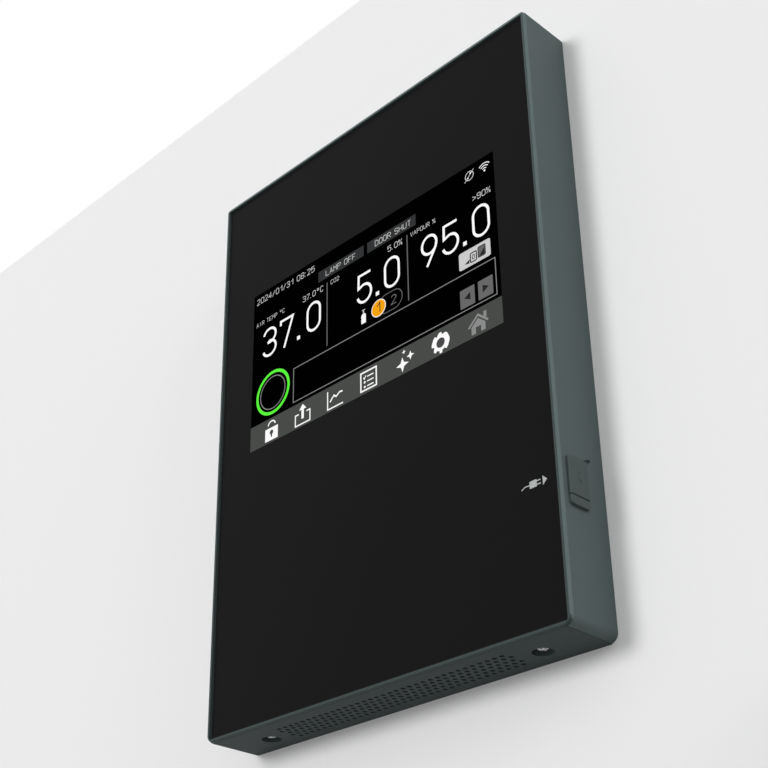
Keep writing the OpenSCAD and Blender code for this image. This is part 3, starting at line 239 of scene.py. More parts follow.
class Finishes:
    """Every finish on the incubator."""

    casing = Finish("casing_paint", (233, 233, 231), rough=0.42, relief_mm=0.03, relief_scale=700)
    door = Finish("door_paint", (234, 234, 234), rough=0.5, rough_drift=0.03, colour_drift=0.004,
                  specular=0.2, relief_mm=0.008, relief_scale=800)
    liner = Finish("liner_paint", (222, 224, 224), rough=0.45, relief_scale=800)
    zinc = Finish("zinc_steel", (172, 174, 176), rough=0.38, metallic=1.0, colour_drift=0.12, drift_scale=40)
    foam = Finish("foam_beads", (236, 230, 205), rough=0.9, relief_mm=0.4, relief_scale=260)
    stainless = Finish("brushed_stainless", (206, 207, 208), rough=0.32, rough_drift=0.08, metallic=0.88,
                       relief_mm=0.01, relief_scale=260, stretch=(1, 1, 22))
    bright = Finish("bright_steel", (208, 208, 208), rough=0.16, metallic=1.0, relief_mm=0.003)
    motor = Finish("motor_enamel", (64, 67, 69), rough=0.42)
    white_plastic = Finish("white_plastic", (232, 232, 228), rough=0.4, relief_scale=1500)
    silicone = Finish("pale_silicone", (214, 217, 214), rough=0.6, relief_scale=500)
    grey_rubber = Finish("grey_rubber", (134, 137, 139), rough=0.7, relief_scale=900)
    slate = Finish("slate_plastic", (82, 93, 93), rough=0.55, rough_drift=0.04, colour_drift=0.02,
                   specular=0.15, relief_mm=0.01, relief_scale=2200)
    # The housing's slate, with painted light and shade on its front rim.
    housing = replace(slate, name="slate_housing", tone="tone")
    # A darker copy of the slate for the under cover, which faces down: painted shade.
    slate_dark = replace(slate, name="slate_dark", colour=(60, 68, 68), rough=0.6, specular=0.1)
    slate_rubber = Finish("slate_rubber", (76, 86, 85), rough=0.72, specular=0.12, relief_mm=0.01,
                          relief_scale=1600)
    dark_plastic = Finish("dark_plastic", (48, 50, 52), rough=0.45, relief_scale=1500)
    # Black glass whose ground edge is scaled paler: partly frosted glass, partly a painted highlight.
    black_glass = Finish("cover_glass_black", (22, 22, 22), rough=0.3, rough_drift=0.02, colour_drift=0.01,
                         specular=0.02, relief_mm=0.0005, tone="tone")
    display = Finish("display_metal", (30, 30, 32), rough=0.5)
    board = Board("circuit_board", (20, 90, 55))
    brass = Finish("brass", (206, 176, 110), rough=0.25, metallic=1.0, relief_mm=0.005)
    foot = Finish("foot_rubber", (38, 38, 38), rough=0.75, relief_scale=700)
    clear = ClearGlass("inner_door_glass", (232, 244, 242), rough=0.02, rough_drift=0.03)
    lamp = ClearGlass("lamp_glass", (225, 230, 245), rough=0.1, rough_drift=0.05)
    screen_black = Finish("screen_black", (1, 1, 1), rough=0.5, specular=0.0, relief_mm=0.001)
    white = Light("screen_white", (255, 255, 255))
    pale = Light("screen_pale", (205, 205, 205))
    mid = Light("screen_mid", (140, 141, 140))
    dim = Light("screen_dim", (104, 105, 104))
    bar = Light("screen_bar", (73, 76, 73))
    chip = Light("screen_chip", (52, 53, 54))
    green = Light("screen_green", (92, 248, 62))
    orange = Light("screen_orange", (246, 164, 16))
    ink = Light("screen_ink", (40, 40, 40))
    print_pale = Finish("glass_print", (170, 175, 173), rough=0.5, relief_mm=0.001)


def slot_of(node: str) -> str:
    """Gives the record's material slot of a CAD node."""
    return next(r["material_slot"] for r in frame["record"]["subparts"] if r["node"] == node)


def body_of(node: str) -> str:
    """Gives the body that a CAD node rides on."""
    bodies = frame["record"]["behaviour"]["bodies"]
    return next(name for name, nodes in bodies.items() if node in nodes)


def coat(finish: Finish, *objects: Object) -> None:
    """Gives objects one finish."""
    for obj in objects:
        obj.data.materials.clear()
        obj.data.materials.append(finish.material())


def settle(obj: Object, finish: Finish, node: str = "", body: str = "", slot: str = "") -> Object:
    """Gives a piece its finish and its body, and hides the CAD node it stands for.

    Args:
        obj: The piece.
        finish: Its finish.
        node: The CAD node that it replaces and hides, whose body it takes.
        body: The body it rides on, where it replaces none.
        slot: The record's material slot, where it replaces none. Its value is not used.

    Returns:
        The same piece.
    """
    coat(finish, obj)
    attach(obj, body or body_of(node))
    if node:
        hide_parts(node)
    slot or slot_of(node)
    LOG.info("piece %s is in place", obj.name)
    return obj


def keep(finish: Finish, *nodes: str) -> None:
    """Gives CAD nodes, shown as they are, a procedural material."""
    coat(finish, *(frame["nodes"][node] for node in nodes))


def link(name: str, data: ID) -> Object:
    """Makes an object of a mesh, lamp or camera and links it to the scene."""
    obj = bpy.data.objects.new(name, data)
    bpy.context.scene.collection.objects.link(obj)
    return obj


def to_mesh(bm: BMesh, name: str) -> Mesh:
    """Turns a bmesh into a mesh and frees it."""
    mesh = bpy.data.meshes.new(name)
    bm.to_mesh(mesh)
    bm.free()
    return mesh


def from_mesh(mesh: Mesh) -> BMesh:
    """Gives a bmesh of a mesh."""
    bm = bmesh.new()
    bm.from_mesh(mesh)
    return bm


def shade(obj: Object, angle: float = 50) -> None:
    """Keeps edges sharp from an angle in degrees and weights the normals by area."""
    obj.data.set_sharp_from_angle(angle=math.radians(angle))
    obj.modifiers.new("normals", "WEIGHTED_NORMAL").keep_sharp = True


def piece_from(bm: BMesh, name: str, smooth: bool = True) -> Object:
    """Turns a bmesh into an object with clean outward normals.

    Args:
        bm: The bmesh, which is freed.
        name: The new object's name.
        smooth: Whether its faces are shaded smooth.

    Returns:
        The object, linked to the scene.
    """
    bmesh.ops.recalc_face_normals(bm, faces=bm.faces)
    for face in bm.faces:
        face.smooth = smooth
    obj = link(name, to_mesh(bm, name))
    if smooth:
        shade(obj)
    return obj


def soften(bm: BMesh, width_mm: float, angle: float) -> None:
    """Bevels every edge that is sharper than an angle.

    Args:
        bm: The bmesh.
        width_mm: The bevel's width.
        angle: The smallest angle between faces, in degrees.
    """
    bmesh.ops.remove_doubles(bm, verts=bm.verts, dist=MERGE)
    bmesh.ops.dissolve_limit(bm, angle_limit=math.radians(FLAT_DEGREES), verts=bm.verts, edges=bm.edges)
    limit = math.radians(angle)
    sharp = [e for e in bm.edges if len(e.link_faces) == 2 and e.calc_face_angle(0) > limit]
    bmesh.ops.bevel(bm, geom=sharp, offset=width_mm * MM, segments=2, profile=0.5, affect="EDGES",
                    clamp_overlap=True)


def refine(node: str, finish: Finish, width_mm: float = 0.4, angle: float = 35,
           cutters: Sequence[BMesh] = ()) -> None:
    """Replaces a CAD node by a copy whose edges are rounded.

    Args:
        node: The node's name.
        finish: The copy's finish.
        width_mm: The width of the rounding.
        angle: The smallest angle that is rounded, in degrees.
        cutters: What is cut out of it.
    """
    bm = from_mesh(frame["nodes"][node].data)
    soften(bm, width_mm, angle)
    obj = piece_from(bm, node + "_dressed")
    for cutter in cutters:
        cut(obj, cutter)
    settle(obj, finish, node)


def rounded_ring(low: Point, high: Point, radii: Sequence[float], steps: int = 8,
                 inset: float = 0.0) -> list[Point]:
    """Walks round a rectangle with round corners.

    Args:
        low: The lower left corner.
        high: The upper right corner.
        radii: The corner radii: lower left, lower right, upper right, upper left.
        steps: Points in each corner, less one.
        inset: How far the rectangle is drawn in on every side.

    Returns:
        The points, anticlockwise.
    """
    (x0, y0), (x1, y1) = (v + inset for v in low), (v - inset for v in high)
    corners = ((x0, y0, 1, 1), (x1, y0, -1, 1), (x1, y1, -1, -1), (x0, y1, 1, -1))
    ring = []
    for i, ((x, y, way_x, way_y), radius) in enumerate(zip(corners, radii)):
        turns = [math.radians(180 + 90 * i + 90 * j / steps) for j in range(steps + 1)]
        ring += [(x + way_x * radius + radius * math.cos(t), y + way_y * radius + radius * math.sin(t))
                 for t in turns]
    return ring


class Axis(Enum):
    """The direction in which a loft's rings follow each other."""

    X = 0
    Y = 1

    def at(self, a: float, b: float, along: float) -> Vector:
        """Gives a point from its two flat coordinates and its place along the axis."""
        return Vector((along, a, b) if self is Axis.X else (a, along, b))


def skin(bm: BMesh, rows: Sequence[Sequence[BMVert]], closed: bool = False) -> None:
    """Joins rows of equal length, with flat ends or closed on themselves.

    Args:
        bm: The bmesh that holds the rows.
        rows: The rows.
        closed: Whether the last row joins the first, in place of two flat ends.
    """
    count = len(rows[0])
    for one, two in list(zip(rows, rows[1:])) + ([(rows[-1], rows[0])] if closed else []):
        for i in range(count):
            j = (i + 1) % count
            bm.faces.new((one[i], one[j], two[j], two[i]))
    if not closed:
        bm.faces.new(rows[0])
        bm.faces.new(rows[-1])


def loft(axis: Axis, rings: Sequence[tuple[float, Sequence[Point]]], closed: bool = False) -> BMesh:
    """Joins rings of equal length into a skin.

    Args:
        axis: The direction of the loft.
        rings: For each ring, its place along the axis and its points.
        closed: Whether the last ring joins the first, in place of two flat ends.

    Returns:
        The skin.
    """
    bm = bmesh.new()
    skin(bm, [[bm.verts.new(axis.at(a, b, along)) for a, b in ring] for along, ring in rings], closed)
    return bm


def add_box(bm: BMesh, low: Sequence[float], high: Sequence[float]) -> BMesh:
    """Adds a block from its lowest to its highest corner and gives the bmesh."""
    size = Vector(high) - Vector(low)
    middle = (Vector(high) + Vector(low)) / 2
    bmesh.ops.create_cube(bm, size=1, matrix=Matrix.Translation(middle) @ Matrix.Diagonal((*size, 1)))
    return bm


def cut(obj: Object, cutter: BMesh) -> None:
    """Takes a cutter's volume out of an object and keeps a plain mesh.

    Args:
        obj: The object that is cut.
        cutter: The cutter, which is freed.
    """
    bmesh.ops.recalc_face_normals(cutter, faces=cutter.faces)
    tool = link("cutter", to_mesh(cutter, "cutter"))
    step = obj.modifiers.new("cut", "BOOLEAN")
    step.object = tool
    step.operation = "DIFFERENCE"
    step.solver = "EXACT"
    bake(obj)
    bpy.data.objects.remove(tool)


def paint(obj: Object, tone: Callable[[Vector], float]) -> None:
    """Bakes an object and stores a factor of its colour at each vertex: painted light and shade, kept as a
    mesh attribute.

    Args:
        obj: The object.
        tone: Gives the factor of painted light and shade at a point.
    """
    bake(obj)
    layer = obj.data.attributes.new("tone", "FLOAT", "POINT")
    layer.data.foreach_set("value", [tone(vert.co) for vert in obj.data.vertices])


def bake(obj: Object) -> None:
    """Turns an object's modifiers, and Geometry Nodes among them, into its plain mesh."""
    bpy.context.view_layer.update()
    graph = bpy.context.evaluated_depsgraph_get()
    mesh = bpy.data.meshes.new_from_object(obj.evaluated_get(graph))
    obj.modifiers.clear()
    old = obj.data
    obj.data = mesh
    bpy.data.meshes.remove(old)
    mesh.name = obj.name


def islands(node: str) -> list[tuple[Vector, Vector]]:
    """Gives the box of each separate piece of a CAD node.

    Args:
        node: The node's name.

    Returns:
        The lowest and highest corners, in the order of the lowest ones.
    """
    bm = from_mesh(frame["nodes"][node].data)
    bmesh.ops.remove_doubles(bm, verts=bm.verts, dist=MERGE)
    left, boxes = set(bm.verts), []
    while left:
        heap, seen = [left.pop()], []
        while heap:
            vert = heap.pop()
            seen.append(vert.co.copy())
            near = {edge.other_vert(vert) for edge in vert.link_edges} & left
            left -= near
            heap.extend(near)
        boxes.append(tuple(Vector([pick(v[i] for v in seen) for i in range(3)]) for pick in (min, max)))
    bm.free()
    return sorted(boxes, key=lambda box: tuple(box[0]))


class Recipe(Tree):
    """A Geometry Nodes group that repeats a flat shape with named inputs and makes it solid."""

    prefix = "GeometryNode"

    def __init__(self, name: str, *sizes: str) -> None:
        """Starts the group.

        Args:
            name: The group's name.
            sizes: The names of its inputs. Columns, Rows and Seed are whole numbers.
        """
        self.tree = bpy.data.node_groups.new(name, "GeometryNodeTree")
        sockets = self.tree.interface
        for way in ("OUTPUT", "INPUT"):
            sockets.new_socket("Geometry", in_out=way, socket_type="NodeSocketGeometry")
        for size in sizes:
            kind = "Int" if size in ("Columns", "Rows", "Seed") else "Float"
            sockets.new_socket(size, in_out="INPUT", socket_type="NodeSocket" + kind)
        sockets.new_socket("Finish", in_out="INPUT", socket_type="NodeSocketMaterial")
        self.given = self.tree.nodes.new("NodeGroupInput").outputs
        self.end = self.tree.nodes.new("NodeGroupOutput").inputs[0]

    def join(self, *parts: NodeSocket) -> NodeSocket:
        """Joins geometry and gives the result."""
        node = self.add("JoinGeometry")
        for part in parts:
            self.tree.links.new(part, node.inputs[0])
        return node.outputs[0]

    def grid(self) -> NodeSocket:
        """Gives points in rows, spaced by the inputs Pitch X and Pitch Y."""
        spans = [self.maths("MULTIPLY", self.maths("SUBTRACT", self.given[count], 1.0), self.given[pitch])
                 for count, pitch in (("Columns", "Pitch X"), ("Rows", "Pitch Y"))]
        return self.out("MeshGrid", Size_X=spans[0], Size_Y=spans[1], Vertices_X=self.given["Columns"],
                        Vertices_Y=self.given["Rows"])

    def solid(self, outline: NodeSocket, points: NodeSocket, keep_own: bool = False,
              **turn: NodeSocket) -> None:
        """Fills an outline, sets it on points, raises it by the input Depth and ends the group.

        Args:
            outline: The curves.
            points: Where the shape is repeated.
            keep_own: Whether the group's own input geometry is kept beside the result.
            turn: The points' rotation, if any.
        """
        flat = self.out("FillCurve", Curve=outline)
        placed = self.out("InstanceOnPoints", Points=points, Instance=flat, **turn)
        real = self.out("RealizeInstances", Geometry=placed)
        sheet = self.out("MergeByDistance", Geometry=real, Distance=MERGE)
        raised = self.out("ExtrudeMesh", Mesh=sheet, Offset_Scale=self.given["Depth"], Individual=False)
        both = self.join(raised, self.out("FlipFaces", Mesh=sheet))
        whole = self.out("MergeByDistance", Geometry=both, Distance=MERGE)
        if keep_own:
            whole = self.join(whole, self.given["Geometry"])
        last = self.out("RealizeInstances", Geometry=whole)
        painted = self.out("SetMaterial", Geometry=last, Material=self.given["Finish"])
        self.tree.links.new(painted, self.end)

    def apply(self, obj: Object, finish: Finish, **sizes: float) -> None:
        """Runs the group on an object and keeps the plain mesh.

        Args:
            obj: The object.
            finish: The finish that the group sets.
            sizes: The inputs, with underscores for spaces.
        """
        step = obj.modifiers.new("pattern", "NODES")
        step.node_group = self.tree
        given = {**sizes, "Finish": finish.material()}
        for item in self.tree.interface.items_tree:
            key = item.name.replace(" ", "_")
            if item.in_out == "INPUT" and key in given:
                step[item.identifier] = given[key]
        bake(obj)


class Patterns:
    """The repeated shapes: perforated sheet, rows of slots and the stars in screw heads."""

    into_mm = 0.2
    slot_mm = 3.0

    def __init__(self) -> None:
        """Writes the three groups."""
        grid = ("Columns", "Rows", "Pitch X", "Pitch Y", "Depth")
        self.sheet = sheet = Recipe("perforated_sheet", *grid, "Hole")
        tile = sheet.out("CurvePrimitiveQuadrilateral", Width=sheet.given["Pitch X"],
                         Height=sheet.given["Pitch Y"])
        hole = sheet.out("CurvePrimitiveCircle", Resolution=16, Radius=sheet.given["Hole"])
        sheet.solid(sheet.join(tile, hole), sheet.grid(), keep_own=True)
        self.slots = slots = Recipe("rows_of_slots", *grid, "Width", "Height")
        bar = slots.out("CurvePrimitiveQuadrilateral", Width=slots.given["Width"],
                        Height=slots.given["Height"])
        radius = slots.maths("MULTIPLY", slots.given["Height"], 0.49)
        slots.solid(slots.out("FilletCurve", {"mode": "POLY"}, Curve=bar, Count=5, Radius=radius),
                    slots.grid())
        self.stars = stars = Recipe("screw_stars", "Reach", "Depth", "Seed")
        waist = stars.maths("MULTIPLY", stars.given["Reach"], 0.38)
        star = stars.out("CurveStar", Points=4, Inner_Radius=waist, Outer_Radius=stars.given["Reach"])
        spin = stars.out("FunctionNodeRandomValue", {"data_type": "FLOAT_VECTOR"}, i1=(0, 0, 1.5),
                         Seed=stars.given["Seed"])
        stars.solid(star, stars.given["Geometry"], Rotation=spin)

    def cutter(self, recipe: Recipe, spots: Sequence[Vector], facing: Vector, **sizes: float) -> BMesh:
        """Makes a cutter that goes into a face.

        Args:
            recipe: The group that makes it.
            spots: The points of the face where it goes in: each screw, or the middle of the rows.
            facing: The face's outward direction.
            sizes: The group's inputs.

        Returns:
            The cutter.
        """
        lift = facing * self.into_mm * MM
        turn = (-facing).to_track_quat("Z", "Y").to_matrix().to_4x4()
        if recipe is not self.stars:
            turn = Matrix.Translation(spots[0] + lift) @ turn
        mesh = bpy.data.meshes.new("cutter_points")
        back = turn.inverted()
        mesh.from_pydata([back @ (spot + lift) for spot in spots], [], [])
        obj = link("cutter_points", mesh)
        recipe.apply(obj, Finishes.bright, **sizes)
        bm = from_mesh(obj.data)
        for face in bm.faces:
            face.material_index = 0
        bm.transform(turn)
        bpy.data.objects.remove(obj)
        return bm

    def slot_rows(self, middle: Vector, facing: Vector, count: tuple[int, int], pitch_mm: Point,
                  size_mm: Point) -> BMesh:
        """Makes rows of slots in a face.

        Args:
            middle: The middle of the rows.
            facing: The face's outward direction.
            count: How many slots across, and how many rows.
            pitch_mm: Their spacing across and along the face.
            size_mm: Each slot's width and height.

        Returns:
            The cutter.
        """
        return self.cutter(self.slots, [middle], facing, Columns=count[0], Rows=count[1],
                           Pitch_X=pitch_mm[0] * MM, Pitch_Y=pitch_mm[1] * MM, Width=size_mm[0] * MM,
                           Height=size_mm[1] * MM, Depth=self.slot_mm * MM)

    def screw_stars(self, node: str, facing: Vector, reach_mm: float, depth_mm: float, seed: int) -> BMesh:
        """Makes the stars for those screws of a CAD node whose heads face one way.

        Args:
            node: The node that holds the screws.
            facing: The way that the heads face.
            reach_mm: The stars' outer radius.
            depth_mm: Their depth.
            seed: The seed of their turns.

        Returns:
            The cutter.
        """
        spots = []
        for low, high in islands(node):
            along = (high - low).dot(facing)
            if along < max(high - low) / 2:
                spots.append((low + high) / 2 + facing * along / 2)
        return self.cutter(self.stars, spots, facing, Reach=reach_mm * MM,
                           Depth=(depth_mm + self.into_mm) * MM, Seed=seed)


class Letters:
    """Plain capitals and numerals drawn with strokes, on a grid four wide and six high.

    Each sign is a row of strokes divided by bars. A stroke's points are pairs of digits: steps to
    the right, then steps down.
    """

    signs = {
        "0": "10 30 41 45 36 16 05 01 10", "1": "12 30 36", "2": "01 10 30 41 42 06 46",
        "3": "01 10 30 41 42 33 13|33 44 45 36 16 05", "4": "36 30 04 44",
        "5": "40 00 03 12 32 43 45 36 16 05", "7": "00 40 16",
        "8": "13 02 01 10 30 41 42 33 13 04 05 16 36 45 44 33",
        "9": "42 33 13 02 01 10 30 41 45 36 16 05", "/": "30 06", ":": "11 12|15 16", ".": "15 16",
        "%": "00 10 12 02 00|40 06|34 44 46 36 34", ">": "01 43 05", "°": "10 30 32 12 10",
        "A": "06 20 46|14 34", "C": "41 30 10 01 05 16 36 45", "D": "00 20 41 45 26 06 00",
        "E": "40 00 06 46|03 33", "F": "40 00 06|03 33", "H": "00 06|40 46|03 43", "I": "20 26",
        "L": "00 06 46", "M": "06 00 23 40 46", "O": "10 30 41 45 36 16 05 01 10",
        "P": "06 00 30 41 42 33 03", "R": "06 00 30 41 42 33 03|23 46",
        "S": "41 30 10 01 02 13 33 44 45 36 16 05", "T": "00 40|20 26", "U": "00 05 16 36 45 40",
        "V": "00 26 40", " ": ""}
    widths = {".": 1.6, ":": 1.6, "1": 3.4, "/": 3.4, " ": 2.4}
    width, height, gap, line = 4.0, 6, 1.5, 0.105

    @classmethod
    def strokes(cls, text: str) -> tuple[list[list[Point]], float]:
        """Gives a text's strokes and its width, in steps of the grid.

        Args:
            text: The characters.

        Returns:
            The strokes and the whole width.
        """
        lines, left = [], 0.0
        for sign in text:
            shift = left - (1 if sign in ".:" else 0)
            for line in filter(None, cls.signs[sign].split("|")):
                lines.append([(shift + int(spot[0]), float(spot[1])) for spot in line.split()])
            left += cls.widths.get(sign, cls.width) + cls.gap
        return lines, left - cls.gap


def around(x: float, y: float, spokes: Sequence[Point]) -> list[Point]:
    """Gives points around a middle, each from its angle in degrees and its distance."""
    return [(x + reach * math.cos(math.radians(turn)), y + reach * math.sin(math.radians(turn)))
            for turn, reach in spokes]


class Canvas:
    """Flat drawings on the panel's glass, gathered into one mesh for each colour and level.

    Lengths are in millimetres, X to the right of the origin and Y below it. Angles run clockwise
    from the right, in degrees. The pen's colour and level go for all that is drawn after it.
    """

    mitre = 0.4

    def __init__(self, left: float, top: float, glass: float, step: float) -> None:
        """Places the drawing's corner.

        Args:
            left: X of the drawing's left edge, in metres.
            top: Z of the drawing's top edge, in metres.
            glass: Y of the glass's front face, in metres.
            step: Distance from one level to the next, towards the front, in metres.
        """
        self.left, self.top, self.glass, self.step = left, top, glass, step
        self.x = self.y = 0.0
        self.layers: dict[tuple[str, int], tuple[Finish, BMesh]] = {}

    def pen(self, finish: Finish, level: int = 2) -> "Canvas":
        """Takes up a colour at a level.

        Args:
            finish: The colour.
            level: The level above the glass.

        Returns:
            The canvas.
        """
        self.level, key = level, (finish.name, level)
        if key not in self.layers:
            self.layers[key] = finish, bmesh.new()
        self.bm = self.layers[key][1]
        return self

    def spot(self, x: float, y: float) -> BMVert:
        """Adds a vertex."""
        return self.bm.verts.new((self.left + (self.x + x) * MM, self.glass - self.step * self.level,
                                  self.top - (self.y + y) * MM))

    def shape(self, *points: Point) -> None:
        """Adds a filled outline."""
        self.bm.faces.new([self.spot(x, y) for x, y in points])

    def stroke(self, width: float, *points: Point, closed: bool = False) -> None:
        """Adds a line of even width with mitred corners.

        Args:
            width: Its width.
            points: The line's middle.
            closed: Whether the last point joins the first.
        """
        path = [Vector(p) for p in points]
        count = len(path)
        ways = [(path[(i + 1) % count] - here).normalized() for i, here in enumerate(path)]
        if not closed:
            ways[-1] = ways[-2]
        edges = []
        for i, here in enumerate(path):
            back = ways[i - 1] if i or closed else ways[0]
            way = (back + ways[i]).normalized()
            side = Vector((-way.y, way.x))
            reach = width / 2 / max(side.dot(Vector((-ways[i].y, ways[i].x))), self.mitre)
            edges.append((self.spot(*(here + side * reach)), self.spot(*(here - side * reach))))
        for i in range(count if closed else count - 1):
            (a, b), (c, d) = edges[i], edges[(i + 1) % count]
            self.bm.faces.new((a, b, d, c))

    def corners(self, x0: float, y0: float, x1: float, y1: float, radius: float, steps: int) -> list[Point]:
        """Gives a rectangle's outline, with round corners where a radius is given."""
        if radius:
            return rounded_ring((x0, y0), (x1, y1), [radius] * 4, steps)
        return [(x0, y0), (x1, y0), (x1, y1), (x0, y1)]

    def bar(self, x0: float, y0: float, x1: float, y1: float, radius: float = 0.0) -> None:
        """Adds a filled rectangle, with round corners where a radius is given."""
        self.shape(*self.corners(x0, y0, x1, y1, radius, 5))

    def box(self, width: float, x0: float, y0: float, x1: float, y1: float, radius: float = 0.0,
            steps: int = 3) -> None:
        """Adds a rectangle's line, with round corners where a radius is given."""
        self.stroke(width, *self.corners(x0, y0, x1, y1, radius, steps), closed=True)

    def ring(self, x: float, y: float, radius: float, width: float, start: float = 0,
             end: float = 360) -> None:
        """Adds a circle's line, or an arc of it.

        Args:
            x: X of its middle.
            y: Y of its middle.
            radius: The radius of the line's middle.
            width: The line's width.
            start: The angle where it starts.
            end: The angle where it ends.
        """
        whole, turn = end - start >= 360, end - start
        count = max(int(turn / 6), 4)
        spokes = [(start + turn * i / count, radius) for i in range(count if whole else count + 1)]
        self.stroke(width, *around(x, y, spokes), closed=whole)

    def disc(self, x: float, y: float, radius: float) -> None:
        """Adds a filled circle."""
        self.shape(*around(x, y, [(9 * i, radius) for i in range(40)]))

    def words(self, text: str, x: float, base: float, height: float, right: bool = False) -> None:
        """Adds generic lettering.

        Args:
            text: The characters.
            x: Where they start, or where they end if right is set.
            base: Their base line.
            height: The height of a capital letter.
            right: Whether they end at x.
        """
        lines, width = Letters.strokes(text)
        step = height / Letters.height
        left = x - width * step if right else x
        for line in lines:
            points = [(left + a * step, base - height + b * step) for a, b in line]
            closed = len(points) > 2 and points[0] == points[-1]
            self.stroke(height * Letters.line, *(points[:-1] if closed else points), closed=closed)

    def pieces(self, prefix: str) -> None:
        """Turns each layer into one piece that faces the front and rides on the outer door.

        Args:
            prefix: The start of the pieces' names.
        """
        for (colour, level), (finish, bm) in sorted(self.layers.items()):
            bmesh.ops.triangulate(bm, faces=bm.faces)
            bm.normal_update()
            for face in bm.faces:
                if face.normal.y > 0:
                    face.normal_flip()
            name = f"{prefix}_{colour}_{level}"
            settle(link(name, to_mesh(bm, name)), finish, body="outer_door", slot="display_black")


@dataclass
class Digits:
    """Tall numerals drawn with strokes of even width, in millimetres."""

    height: float = 16.4
    width: float = 9.9
    stroke: float = 1.32

    def arc(self, x: float, y: float, rx: float, ry: float, start: float, end: float) -> list[Point]:
        """Gives points on an ellipse's arc, in degrees clockwise from the right."""
        count = max(int(abs(end - start) / 9), 3)
        turns = [math.radians(start + (end - start) * i / count) for i in range(count + 1)]
        return [(x + rx * math.cos(t), y + ry * math.sin(t)) for t in turns]

    def path(self, digit: str) -> list[list[Point]]:
        """Gives the strokes of one numeral.

        Args:
            digit: One of 0, 3, 5, 7 and 9.

        Returns:
            Its strokes, from the numeral's top left corner.
        """
        s = self.stroke / 2
        w, h = self.width - s, self.height - s
        r = (w - s) / 2
        m = (s + w) / 2
        if digit == "0":
            loop = self.arc(m, s + r, r, r, -180, 0) + self.arc(m, h - r, r, r, 0, 180)
            return [loop + [loop[0]]]
        if digit == "3":
            waist = (m - 1.6, s + 7.8)
            top = self.arc(m - 0.2, s + 3.9, r, 3.9, -165, 90)
            low = self.arc(m - 0.2, h - 4.05, r + 0.2, 4.05, -90, 165)
            return [top + [waist], [waist] + low]
        if digit == "5":
            bowl = self.arc(m - 0.1, h - 4.7, r + 0.1, 4.7, -118, 165)
            return [[(w - 0.3, s), (s + 0.7, s), (s + 0.5, h - 8.3)] + bowl]
        if digit == "7":
            return [[(s, s + 2.4), (s, s), (w, s), (s + 2.6, h + s)]]
        bowl = self.arc(m, s + 4.7, r, 4.7, 0, -360)
        return [bowl, [(w, s + 4.7), (w - 0.6, s + 7.4), (m - 1.6, h + s)]]

    def draw(self, canvas: Canvas, text: str, starts: Sequence[float], top: float) -> None:
        """Draws a number, and a square for its decimal point.

        Args:
            canvas: Where it is drawn.
            text: The number.
            starts: The left edge of each character.
            top: The numerals' top edge.
        """
        side, low = self.stroke * 1.55, top + self.height
        for digit, x in zip(text, starts):
            if digit == ".":
                canvas.bar(x, low - side, x + side, low)
                continue
            for line in self.path(digit):
                canvas.stroke(self.stroke, *((x + a, top + b) for a, b in line))


